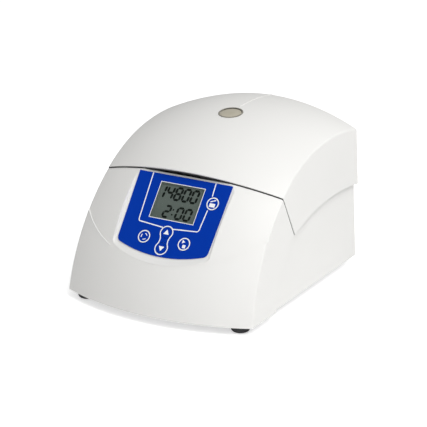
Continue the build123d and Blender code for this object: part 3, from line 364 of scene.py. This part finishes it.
board = Finish("board_green", (0.02, 0.16, 0.06), 0.35, IOR=1.5)
track_grid = board.node(
    "ShaderNodeTexBrick", Vector=board.place, Color1=(0, 0, 0, 1), Color2=(0.2, 0.2, 0.2, 1),
    Mortar=(1, 1, 1, 1), Scale=120.0,
)
board.feed(Base_Color=board.blend(track_grid, (0.015, 0.12, 0.045), (0.05, 0.26, 0.10)))
board.feed(Roughness=0.28 + 0.2 * board.noise(400))
FINISHES["board"] = board
print("rubber, nylon and board")

# %% [markdown]
# ## Metals
#
# Sheet steel is brushed in one direction, so its noise is stretched. Turned parts carry rings
# from the lathe: waves of the distance from their axis. The rotor is anodised aluminium, and
# spun parts share the rotor's upright axis, so one mapping serves them all.

# %% Metals
AXIS_Y = 0.038


def brushed(name, dark, light, rough, stretch):
    """Brushed sheet metal with its lines along one direction."""
    metal = Finish(name, light, rough, metallic=1.0)
    lines = metal.noise(220, detail=4, rough=0.7, stretch=stretch)
    metal.feed(Base_Color=metal.blend(lines, dark, light))
    metal.feed(Roughness=(rough - 0.08) + 0.18 * lines)
    metal.bump(lines, 0.12, 0.00004)
    return metal


def turned(name, dark, light, rough, ring_scale):
    """Lathe-turned metal with fine rings about the rotor's axis."""
    metal = Finish(name, light, rough, metallic=1.0)
    centred = metal.node("ShaderNodeMapping", Vector=metal.place, Location=(0, -AXIS_Y, 0))
    rings = metal.node(
        "ShaderNodeTexWave", {"wave_type": "RINGS", "rings_direction": "Z"},
        Vector=centred, Scale=ring_scale, Distortion=0.4, Detail=2.0,
    )
    metal.feed(Base_Color=metal.blend(rings, dark, light))
    metal.feed(Roughness=(rough - 0.05) + 0.12 * rings)
    metal.bump(rings, 0.15, 0.00003)
    return metal


FINISHES["steel"] = brushed("sheet_steel", (0.50, 0.50, 0.51), (0.66, 0.66, 0.67), 0.32,
                            (1, 14, 1))
FINISHES["zinc"] = brushed("plated_steel", (0.46, 0.47, 0.48), (0.70, 0.70, 0.71), 0.28,
                           (6, 1, 1))
FINISHES["brass"] = brushed("bare_brass", (0.55, 0.40, 0.16), (0.78, 0.60, 0.28), 0.3,
                            (1, 1, 10))
FINISHES["bowl"] = turned("spun_bowl", (0.56, 0.56, 0.57), (0.72, 0.72, 0.73), 0.26, 420)
FINISHES["rotor"] = turned("anodised_rotor", (0.30, 0.31, 0.33), (0.44, 0.45, 0.47), 0.34, 600)
FINISHES["cover"] = turned("anodised_cover", (0.62, 0.62, 0.64), (0.80, 0.80, 0.81), 0.25, 700)
FINISHES["core"] = brushed("laminated_core", (0.16, 0.16, 0.17), (0.34, 0.34, 0.35), 0.42,
                           (1, 1, 60))
print("metals:", len(FINISHES))

# %% [markdown]
# ## Smoothing the solids
#
# A solid arrives as loose triangles. For a curved skin a copy is made, its corners are merged,
# and its faces are shaded smooth up to a crease angle. A Weighted Normal modifier then lets the
# large flat faces decide the shading beside them, so that small fillets don't pull streaks over
# flat walls.

# %% Copies of solids
def alone(obj):
    """Make one object the only selected and active one."""
    bpy.ops.object.select_all(action="DESELECT")
    obj.select_set(True)
    bpy.context.view_layer.objects.active = obj


def finished(obj, finish, body):
    """Give a piece its finish and its body."""
    obj.data.materials.clear()
    obj.data.materials.append(FINISHES[finish].material)
    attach(obj, body)
    return obj


BODY_OF = {
    node: body for body, nodes in frame["record"]["behaviour"]["bodies"].items()
    for node in nodes
}


MERGE_DISTANCE = 0.000002
FLAT_ANGLE = radians(0.6)
BEVEL_ANGLE = radians(50)


def smooth_copy(node, name, finish, crease=32, edge=0.0):
    """A merged, smooth-shaded copy that stands for a solid, with its edges eased."""
    source = frame["nodes"][node]
    copy = source.copy()
    copy.data = source.data.copy()
    copy.name = name
    copy.data.name = name
    copy.parent = None
    copy.matrix_world = Matrix.Identity(4)
    bpy.context.scene.collection.objects.link(copy)
    alone(copy)
    bpy.ops.object.mode_set(mode="EDIT")
    bpy.ops.mesh.select_all(action="SELECT")
    bpy.ops.mesh.remove_doubles(threshold=MERGE_DISTANCE)
    if edge > 0:
        bpy.ops.mesh.dissolve_limited(angle_limit=FLAT_ANGLE)
    bpy.ops.object.mode_set(mode="OBJECT")
    if edge > 0:
        bevel = copy.modifiers.new("eased edges", "BEVEL")
        bevel.width = edge
        bevel.segments = 2
        bevel.limit_method = "ANGLE"
        bevel.angle_limit = BEVEL_ANGLE
        bevel.use_clamp_overlap = True
        bpy.ops.object.modifier_apply(modifier=bevel.name)
    bpy.ops.object.shade_smooth_by_angle(angle=radians(crease))
    weigh = copy.modifiers.new("flat faces stay flat", "WEIGHTED_NORMAL")
    weigh.keep_sharp = True
    bpy.ops.object.modifier_apply(modifier=weigh.name)
    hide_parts(node)
    finished(copy, finish, BODY_OF[node])
    return copy


print("nodes in bodies:", len(BODY_OF))

# %% [markdown]
# ## Crowned skins
#
# The front and the lid are parts of crowned rings: an arched strip turned about a cross axis.
# The true direction of such a skin is known at every point. It is written into the mesh, and a
# reflection then runs over it without a ripple. The two leaning sides keep their own direction.

# %% Casing and lid
SIDE_LEAN = radians(2.68)
HALF_WIDTH = 0.1055
FOOT_HEIGHT = 0.008
FRONT_CENTRE = Vector((0.072, -0.030))
FRONT_RADIUS = 0.180
FRONT_CROWN = (0.246, 0.103)
LID_FRONT_RADIUS = 0.164
LID_REAR_RADIUS = 0.235
LID_CROWN = (0.232, 0.100)
LID_JOIN = radians(101)
SEAM_SIDE = Vector((-0.0332, 0.117))
FLAT_SIDE = 0.998
SKIN_TOLERANCE = 0.00006
SAME_SIDE = 0.97


def half_width(z):
    """Half of the casing's width at a height."""
    return HALF_WIDTH - (z - FOOT_HEIGHT) * tan(SIDE_LEAN)


def rise(radius, half, x):
    """Height of a crown above its edge line at x."""
    return sqrt(radius**2 - x**2) - sqrt(radius**2 - half**2)


class Ring:
    """A crowned skin about a cross axis, between two angles, at an offset from its form."""

    def __init__(self, centre, radius, crown, low, high, offset):
        self.centre = centre
        self.middle = radius - sqrt(crown[0]**2 - crown[1]**2)
        self.crown_radius = crown[0] + offset
        self.low = low
        self.high = high

    def direction(self, point):
        """Outward direction at a point, or nothing where the point is off the skin."""
        arm = point.yz - self.centre
        angle = atan2(arm.y, arm.x)
        height = arm.length - self.middle
        away = sqrt(point.x**2 + height**2) - self.crown_radius
        if abs(away) > SKIN_TOLERANCE or not self.low <= angle <= self.high:
            return None
        return Vector((point.x, height * cos(angle), height * sin(angle))).normalized()


def true_normals(obj, rings):
    """Write the exact surface direction where the mesh lies on one of the rings."""
    mesh = obj.data
    normals = [Vector(corner.vector) for corner in mesh.corner_normals]
    count = 0
    for face in mesh.polygons:
        if abs(face.normal.x) > FLAT_SIDE:
            for loop in face.loop_indices:
                normals[loop] = face.normal.copy()
            continue
        for ring in rings:
            exact = [ring.direction(mesh.vertices[corner].co) for corner in face.vertices]
            if any(direction is None for direction in exact):
                continue
            facing = exact[0].dot(face.normal)
            if abs(facing) > SAME_SIDE:
                for loop, direction in zip(face.loop_indices, exact):
                    normals[loop] = direction if facing > 0 else -direction
                count += 1
            break
    mesh.normals_split_custom_set(normals)
    print(obj.name, "faces on crowned rings:", count)


seam_half = half_width(SEAM_SIDE.y)
seam_step = rise(*FRONT_CROWN, seam_half) - rise(*LID_CROWN, seam_half)
to_seam = (SEAM_SIDE - FRONT_CENTRE).normalized()
to_join = Vector((cos(LID_JOIN), sin(LID_JOIN)))
lid_front = FRONT_CENTRE + to_seam * (FRONT_RADIUS + seam_step - LID_FRONT_RADIUS)
lid_rear = lid_front + to_join * (LID_FRONT_RADIUS - LID_REAR_RADIUS)
# Each ring has three skins: the outer one, a raised or set-back one and the inner one
hood_rings = [
    Ring(FRONT_CENTRE, FRONT_RADIUS, FRONT_CROWN, radians(110), radians(182), offset)
    for offset in (0, -0.0012, -0.0042)
]
lid_rings = [
    Ring(centre, radius, LID_CROWN, low, high, offset)
    for offset in (0, -0.0026, 0.00045)
    for centre, radius, low, high in (
        (lid_front, LID_FRONT_RADIUS, LID_JOIN, radians(140)),
        (lid_rear, LID_REAR_RADIUS, radians(70), LID_JOIN),
    )
]

true_normals(smooth_copy("housing", "casing", "casing", crease=30), hood_rings)
true_normals(smooth_copy("lid_shell", "lid", "casing", crease=30), lid_rings)

# %% [markdown]
# ## Finishes for the other solids
#
# Most solids need no new shape. Round ones get merged copies with eased edges, so that they
# read as turned or moulded, and flat hidden ones simply take a finish in their own slots.

# %% Smooth copies and finishes of the other solids
ROUND = {
    "rotor": ("rotor", 0.0), "rotor_cover": ("cover", 0.0003), "clamp_nut": ("nylon", 0.0004),
    "chamber_bowl": ("bowl", 0.0), "spindle": ("zinc", 0.0), "lid_liner": ("liner", 0.0),
    "lid_seal": ("rubber", 0.0), "deck_gasket": ("rubber", 0.0), "sight_tube": ("liner", 0.0),
    "window_ring": ("rim", 0.00015), "motor_can": ("steel", 0.0), "armature": ("core", 0.0),
    "motor_boot": ("rubber", 0.0), "dampers": ("rubber", 0.0), "capacitors": ("nylon", 0.0),
    "hinge_pin_left": ("zinc", 0.0), "hinge_pin_right": ("zinc", 0.0),
    "hinge_bushes": ("brass", 0.0), "latch_bolt_left": ("zinc", 0.0),
    "latch_bolt_right": ("zinc", 0.0), "bearing_upper": ("zinc", 0.0),
    "bearing_lower": ("zinc", 0.0), "sight_pane": ("clear", 0.0),
    "foot_front_left": ("rubber", 0.0), "foot_front_right": ("rubber", 0.0),
    "foot_rear_left": ("rubber", 0.0), "foot_rear_right": ("rubber", 0.0),
    "control_panel": ("film", 0.00015), "key_select": ("film", 0.0002),
    "key_start": ("film", 0.0002), "key_up": ("film", 0.0002), "key_down": ("film", 0.0002),
    "key_lid": ("film", 0.0002), "power_rocker": ("nylon", 0.0004),
    "power_inlet": ("nylon", 0.0003), "power_switch": ("nylon", 0.0003),
    "fuse_drawer": ("nylon", 0.0003), "lid_striker_left": ("zinc", 0.0002),
    "lid_striker_right": ("zinc", 0.0002), "latch_case_left": ("nylon", 0.0003),
    "latch_case_right": ("nylon", 0.0003), "heat_sink": ("cover", 0.0002),
    "foot_screws": ("zinc", 0.0), "housing_screws": ("zinc", 0.0), "board_screws": ("zinc", 0.0),
    "liner_screws": ("zinc", 0.0), "damper_bolts": ("zinc", 0.0),
}
FLAT = {
    "base_plate": "steel", "motor_plate": "steel", "stator": "core", "display_lens": "lens",
    "display_module": "crystal", "key_switches": "nylon", "control_board": "board",
    "drive_board": "board", "inlet_pins": "brass",
}
for node, (finish, edge) in ROUND.items():
    smooth_copy(node, node.replace("_", "-"), finish, edge=edge)
for node, finish in FLAT.items():
    mesh = frame["nodes"][node].data
    mesh.materials.clear()
    mesh.materials.append(FINISHES[finish].material)
print("smooth:", len(ROUND), "flat:", len(FLAT))

# %% [markdown]
# ## Drawing on the panel
#
# All print on the panel is measured across (x) and up its slope (v), from the foot of the
# display. `on_panel` carries a flat drawing to the sloping plane. Lines are curves with a round
# section, made into meshes and pressed nearly flat, as screen print is.

# %% Lines on the panel
TILT = radians(39.7)
PANEL_UP = Vector((0, sin(TILT), cos(TILT)))
PANEL_OUT = Vector((0, -cos(TILT), sin(TILT)))
PANEL_ORIGIN = Vector((0, -0.078, 0.09106))
FILM_DEPTH = 1.0
KEY_DEPTH = 0.9
INK = 0.045


def on_panel(obj, depth):
    """Carry a drawing in millimetres, flat in XY, to the panel at a depth under its plane."""
    basis = Matrix((Vector((1, 0, 0)), PANEL_UP, PANEL_OUT)).transposed().to_4x4()
    origin = PANEL_ORIGIN - PANEL_OUT * depth / 1000
    obj.data.transform(
        Matrix.Translation(origin) @ basis @ Matrix.Diagonal((0.001, 0.001, 0.001, 1))
    )
    obj.matrix_world = Matrix.Identity(4)
    return obj


def round_curve(name, points, radius, closed=False, resolution=3):
    """A round bar through points in space, made into a mesh."""
    curve = bpy.data.curves.new(name, "CURVE")
    curve.dimensions = "3D"
    curve.bevel_depth = radius
    curve.bevel_resolution = resolution
    curve.use_fill_caps = True
    spline = curve.splines.new("POLY")
    spline.points.add(len(points) - 1)
    for point, place in zip(spline.points, points):
        point.co = (*place, 1)
    spline.use_cyclic_u = closed
    obj = bpy.data.objects.new(name, curve)
    bpy.context.scene.collection.objects.link(obj)
    alone(obj)
    bpy.ops.object.convert(target="MESH")
    return bpy.context.view_layer.objects.active


def line(name, points, width, closed=False):
    """A printed line through points, pressed to the thickness of ink."""
    flat = [(x, v, 0) for x, v in points]
    obj = round_curve(name, flat, width / 2, closed, resolution=2)
    obj.data.transform(Matrix.Diagonal((1, 1, INK * 2 / width, 1)))
    return obj


def arc_points(x, v, radius, start, end, steps=20):
    """Points on an arc, with angles in degrees from across."""
    return [
        (x + radius * cos(radians(start + (end - start) * i / steps)),
         v + radius * sin(radians(start + (end - start) * i / steps)))
        for i in range(steps + 1)
    ]


def joined(name, objs):
    """Join drawings into one object."""
    bpy.ops.object.select_all(action="DESELECT")
    for obj in objs:
        obj.select_set(True)
    bpy.context.view_layer.objects.active = objs[0]
    if len(objs) > 1:
        bpy.ops.object.join()
    objs[0].name = name
    objs[0].data.name = name
    return objs[0]


def shape(name, corners, thick=INK):
    """A filled printed shape: a circle with few sides, its corners moved, then extruded."""
    bpy.ops.object.select_all(action="DESELECT")
    bpy.ops.mesh.primitive_circle_add(vertices=len(corners), radius=1, fill_type="NGON")
    obj = bpy.context.view_layer.objects.active
    obj.name = name
    for vertex, (x, v) in zip(obj.data.vertices, corners):
        vertex.co = (x, v, 0)
    bpy.ops.object.mode_set(mode="EDIT")
    bpy.ops.mesh.select_all(action="SELECT")
    bpy.ops.mesh.extrude_region_move(TRANSFORM_OT_translate={"value": (0, 0, thick)})
    bpy.ops.mesh.select_all(action="SELECT")
    bpy.ops.mesh.normals_make_consistent(inside=False)
    bpy.ops.object.mode_set(mode="OBJECT")
    return obj


LINE = 1.15
BORDER = 1.0
PEANUT_TOP = (0, -12.5)
PEANUT_FOOT = (0, -28.8)
PEANUT_END = 6.7
PEANUT_WAIST = ((4.75, -22.7), (4.45, -20.65), (4.75, -18.6))
SCREEN_HALF = 25.0
SCREEN_LOW = 0.3
SCREEN_HIGH = 38.3

outline = (
    arc_points(*PEANUT_TOP, PEANUT_END, -38, 218, 28)
    + [(-x, v) for x, v in reversed(PEANUT_WAIST)]
    + arc_points(*PEANUT_FOOT, PEANUT_END, 142, 398, 28)
    + list(PEANUT_WAIST)
)
frame_lines = [
    line("peanut", outline, LINE, closed=True),
    line("frame-left", [(-37.1, 45.9), (-34.95, -3.0)] + arc_points(-32.4, -3.3, 2.5, 182, 262, 8)
         + [(-30.3, -5.9), (-6.0, -7.9)], LINE),
    line("frame-right", [(4.9, -7.9), (30.2, -5.9)] + arc_points(31.0, -3.4, 2.4, -85, 0, 8)
         + [(33.5, -2.6), (35.0, 17.6)], LINE),
    line("frame-upper", [(34.9, 32.3), (34.2, 45.9)], LINE),
    line("display-border", [
        (-SCREEN_HALF, SCREEN_LOW), (SCREEN_HALF, SCREEN_LOW),
        (SCREEN_HALF, SCREEN_HIGH), (-SCREEN_HALF, SCREEN_HIGH),
    ], BORDER, closed=True),
]
panel_print = on_panel(joined("panel-lines", frame_lines), FILM_DEPTH)
finished(panel_print, "ink", "body")
print("panel lines:", len(panel_print.data.polygons))

# %% [markdown]
# ## Signs on the keys
#
# Each round key carries a white ring and a sign, and they travel with it. Up and down are
# triangles. The lid key shows a box with its lid lifted. Select is a ring of three dashes, and
# start and stop are a triangle and a square, so the keys need no words.

# %% Key signs
SIDE_KEY_X = 22.7
SIDE_KEY_V = -20.5
LID_KEY = (38, 25)
RING_RADIUS = 6.05
DASH_RADIUS = 3.1
DASH_WIDTH = 0.9
DASH_ANGLE = 62
BOX_LINE = 1.1


def key_ring(x, v):
    """Printed ring near the edge of a round key."""
    return line("ring", arc_points(x, v, RING_RADIUS, 0, 354, 59), LINE, closed=True)


def rectangle(name, left, low, right, high):
    """Filled rectangle between its limits."""
    return shape(name, [(left, low), (right, low), (right, high), (left, high)])


key_signs = {
    "key_select": [key_ring(-SIDE_KEY_X, SIDE_KEY_V)] + [
        line("dash", arc_points(-SIDE_KEY_X, SIDE_KEY_V, DASH_RADIUS, a, a + DASH_ANGLE, 8),
             DASH_WIDTH)
        for a in (20, 140, 260)
    ],
    "key_start": [
        key_ring(SIDE_KEY_X, SIDE_KEY_V),
        shape("start", [(20.2, -16.4), (20.2, -20.0), (23.6, -18.2)]),
        rectangle("stop", 21.7, -24.6, 25.1, -21.2),
    ],
    "key_up": [shape("up", [(-3.1, -14.3), (3.1, -14.3), (0, -9.3)])],
    "key_down": [shape("down", [(-3.1, -27.0), (0, -32.0), (3.1, -27.0)])],
    "key_lid": [
        key_ring(*LID_KEY),
        rectangle("box", 34.9, 21.4, 41.1, 25.2),
        line("box-lid", [(35.0, 26.6), (40.6, 29.0)], BOX_LINE),
    ],
}
for key, drawings in key_signs.items():
    sign = on_panel(joined(key.replace("_", "-") + "-sign", drawings), KEY_DEPTH)
    finished(sign, "ink", key)
print("key signs:", len(key_signs))

# %% [markdown]
# ## Display digits
#
# A liquid crystal digit has seven segments with pointed ends, all leaning a little. One segment
# is drawn as a stretched six-sided shape; the digits copy it. The upper row shows the speed and
# the lower row the time, both plain numbers. They lie just under the window, on the crystal.

# %% Digits
SEGMENTS = {
    "0": "abcdef", "1": "bc", "2": "abged", "4": "fgbc", "8": "abcdefg",
}
SLANT = 0.10
SEGMENT_SHARE = 0.94
DIGIT_WIDTH = 6.2
DIGIT_INK = 0.03
DIGIT_DEPTH = 2.36
UPPER_LEFT = -27.3
UPPER_PITCH = 9.3
UPPER_FOOT = 22.4
UPPER_HEIGHT = 12.6
UPPER_THICK = 2.4
LOWER_FOOT = 3.4
LOWER_HEIGHT = 11.6
LOWER_THICK = 2.3


def segment(x, v, length, thick, upright):
    """One pointed segment with its middle at x, v."""
    half, side = length / 2, thick / 2
    corners = [
        (half, 0), (half - side, side), (side - half, side),
        (-half, 0), (side - half, -side), (half - side, -side),
    ]
    if upright:
        corners = [(-b, a) for a, b in corners]
    return shape("segment", [(x + a + SLANT * (v + b), v + b) for a, b in corners], DIGIT_INK)


def digit_shapes(sign, x, v, height, thick):
    """Segments of one digit with its lower left corner at x, v."""
    half = height / 2
    middle = x + DIGIT_WIDTH / 2
    right = x + DIGIT_WIDTH
    places = {
        "a": (middle, v + height, DIGIT_WIDTH, False),
        "b": (right, v + half * 1.5, half, True),
        "c": (right, v + half / 2, half, True),
        "d": (middle, v, DIGIT_WIDTH, False),
        "e": (x, v + half / 2, half, True),
        "f": (x, v + half * 1.5, half, True),
        "g": (middle, v + half, DIGIT_WIDTH, False),
    }
    return [
        segment(x, v, length * SEGMENT_SHARE, thick, upright)
        for x, v, length, upright in (places[s] for s in SEGMENTS[sign])
    ]


digits = []
for index, sign in enumerate("14800"):
    x = UPPER_LEFT + index * UPPER_PITCH
    digits += digit_shapes(sign, x, UPPER_FOOT, UPPER_HEIGHT, UPPER_THICK)
for sign, x in (("2", -12.6), ("0", 1.6), ("0", 11.0)):
    digits += digit_shapes(sign, x, LOWER_FOOT, LOWER_HEIGHT, LOWER_THICK)
for v in (6.8, 12.0):
    corners = [(-2.9, v - 0.8), (-1.3, v - 0.8), (-1.2, v + 0.8), (-2.8, v + 0.8)]
    digits.append(shape("dot", corners, DIGIT_INK))
display_digits = on_panel(joined("display-digits", digits), DIGIT_DEPTH)
finished(display_digits, "digit", "body")
print("digit shapes:", len(digits))

# %% [markdown]
# ## Sight window
#
# The round window in the lid is a slightly domed disc of tinted plastic in a darker rim. It is
# the upper half of a sphere, pressed flat and tipped to the lid's slope.

# %% Sight window
DOME_RADIUS = 0.01124
DOME_RISE = 0.0011
DOME_SUNK = 0.00034

window_low, window_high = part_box("sight_window")
centre = Vector([(a + b) / 2 for a, b in zip(window_low, window_high)])
slope = atan2(centre.z - lid_rear.y, centre.y - lid_rear.x)
bpy.ops.object.select_all(action="DESELECT")
bpy.ops.mesh.primitive_uv_sphere_add(segments=48, ring_count=24, radius=1)
window = bpy.context.view_layer.objects.active
window.name = "sight-window-dome"
bpy.ops.object.mode_set(mode="EDIT")
bpy.ops.mesh.select_all(action="SELECT")
bpy.ops.mesh.bisect(plane_co=(0, 0, 0), plane_no=(0, 0, 1), clear_inner=True, use_fill=True)
bpy.ops.object.mode_set(mode="OBJECT")
tip = Matrix.Rotation(slope - pi / 2, 4, "X")
window.data.transform(
    Matrix.Translation(centre - Vector((0, cos(slope), sin(slope))) * DOME_SUNK) @ tip
    @ Matrix.Diagonal((DOME_RADIUS, DOME_RADIUS, DOME_RISE, 1))
)
bpy.ops.object.shade_smooth_by_angle(angle=radians(40))
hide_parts("sight_window")
finished(window, "sight", "lid")
print("window at", tuple(round(c, 4) for c in centre))

# %% [markdown]
# ## Painted shade cord, crease highlight and window shadow line
#
# A thin dark cord lies in the gap between lid and hood, a little under the skin. It is painted
# shade: the seam is dark only from its shadow. Its path is worked out from the same ring as the
# casing: up one side, over the crowned front, down the other side. A pale line along the rounded
# crease on the left of the front is a painted highlight, where it catches the light, and a very
# thin dark one is a painted shadow in front of the sight window.

# %% Painted shade cord in the seam
SEAM_TOP = Vector((-0.0502, 0.133))
SKIRT_TIP = Vector((-0.0124, 0.074))
HALF_GAP = 0.0006
CORD_DEPTH = 0.0009
CORD_RADIUS = 0.00048
CORD_STEPS = 48
SIDE_STEPS = 10


def cord(name, points, radius, finish, body):
    """A thin round cord with its finish and its body."""
    return finished(round_curve(name, points, radius), finish, body)


seam_run = (SEAM_TOP - SEAM_SIDE).normalized()
seam_to_hood = Vector((-abs(seam_run.y), -abs(seam_run.x)))
side_run = (SEAM_SIDE - SKIRT_TIP).normalized()
side_to_hood = Vector((-abs(side_run.y), -abs(side_run.x)))


def side_point(along, side):
    """Point of the cord between the skirt's tip and the seam."""
    place = SKIRT_TIP.lerp(SEAM_SIDE, along) + side_to_hood * HALF_GAP
    return (side * (half_width(place.y) - CORD_DEPTH), place.x, place.y)


def skin_reach(x, depth=0.0):
    """Distance of the crowned front from its cross axis, at x and a depth under the skin."""
    crown_radius, half = FRONT_CROWN
    middle = FRONT_RADIUS - sqrt(crown_radius**2 - half**2)
    return middle + sqrt((crown_radius - depth)**2 - x**2)


def seam_point(x):
    """Point of the cord on the crowned front."""
    start = SEAM_SIDE - FRONT_CENTRE
    along = start.dot(seam_run)
    run = sqrt(along**2 - start.length_squared + skin_reach(x, CORD_DEPTH)**2) - along
    place = SEAM_SIDE + seam_run * run + seam_to_hood * HALF_GAP
    return (x, place.x, place.y)


seam_reach = side_point(1, 1)[0]
seam_shade_points = [side_point(i / SIDE_STEPS, 1) for i in range(SIDE_STEPS)]
seam_shade_points += [seam_point(seam_reach * (1 - 2 * i / CORD_STEPS)) for i in range(CORD_STEPS + 1)]
seam_shade_points += [side_point(1 - i / SIDE_STEPS, -1) for i in range(1, SIDE_STEPS + 1)]
# Painted shade: a dark rubber cord in the seam stands for the shadow in the gap
cord("seam-painted-shade-cord", seam_shade_points, CORD_RADIUS, "rubber", "body")

SKIN_STEPS = 40
SMILE_RADIUS = 0.130
SMILE_RISE = 0.0815
RECESS_HALF = 0.0560
SIDE_HALF = 0.1005
CREASE_STEPS = 20
CREASE_RADIUS = 0.0005


def skin_point(x, v):
    """Point of the crowned front straight out from a place on the panel's plane."""
    out = 0.0
    for _ in range(SKIN_STEPS):
        place = PANEL_ORIGIN + PANEL_UP * v + PANEL_OUT * out
        out += skin_reach(x) - (place.yz - FRONT_CENTRE).length
    return (x, place.y, place.z)


# Painted highlight: a pale cord along the crease, on the left of the front only, where light
# catches it
edge_places = [
    RECESS_HALF + (SIDE_HALF - RECESS_HALF) * i / CREASE_STEPS for i in range(CREASE_STEPS + 1)
]
crease_highlight_points = [skin_point(-x, SMILE_RISE - sqrt(SMILE_RADIUS**2 - x**2)) for x in edge_places]
cord("front-crease-painted-highlight", crease_highlight_points, CREASE_RADIUS, "crease", "body")

SHADE_REACH = 0.0112
SHADE_RISE = 0.0004
SHADE_RADIUS = 0.00022
window_across = Vector((1, 0, 0))
window_along = Vector((0, sin(slope), -cos(slope)))
window_out = Vector((0, cos(slope), sin(slope)))
shade_points = [
    centre + window_out * SHADE_RISE + SHADE_REACH * (
        window_across * cos(radians(a)) - window_along * sin(radians(a))
    )
    for a in range(205, 336, 5)
]
cord("window-line", shade_points, SHADE_RADIUS, "nylon", "lid")
print("cord points:", len(seam_shade_points))

# %% [markdown]
# ## Floor
#
# The bench is a white sheet far larger than the machine. To the camera it is pure white, as the
# photograph's background is, but it keeps a soft contact shadow under the casing and feet.

# %% Floor
bpy.ops.object.select_all(action="DESELECT")
bpy.ops.mesh.primitive_plane_add(size=12, location=(0, 0, -0.0002))
floor = bpy.context.view_layer.objects.active
floor.name = "floor"
sheet = Finish("bench_sheet", (0.92, 0.92, 0.92), 0.8)
sheet_tone = sheet.noise(3, detail=2)
sheet.feed(Base_Color=sheet.blend(sheet_tone, (0.915, 0.915, 0.915), (0.925, 0.925, 0.925)))
light_path = sheet.node("ShaderNodeLightPath", out="Is Camera Ray")
white = sheet.node("ShaderNodeEmission", Color=(1, 1, 1, 1), Strength=FLOOR_GLOW)
total = sheet.tree.nodes.new("ShaderNodeAddShader")
end = sheet.tree.nodes["Material Output"]
mix = sheet.tree.nodes.new("ShaderNodeMixShader")
sheet.tree.links.new(sheet.shader.outputs[0], total.inputs[0])
sheet.tree.links.new(white.socket, total.inputs[1])
sheet.tree.links.new(light_path.socket, mix.inputs[0])
sheet.tree.links.new(sheet.shader.outputs[0], mix.inputs[1])
sheet.tree.links.new(total.outputs[0], mix.inputs[2])
sheet.tree.links.new(mix.outputs[0], end.inputs["Surface"])
floor.data.materials.append(sheet.material)
print("floor ready")
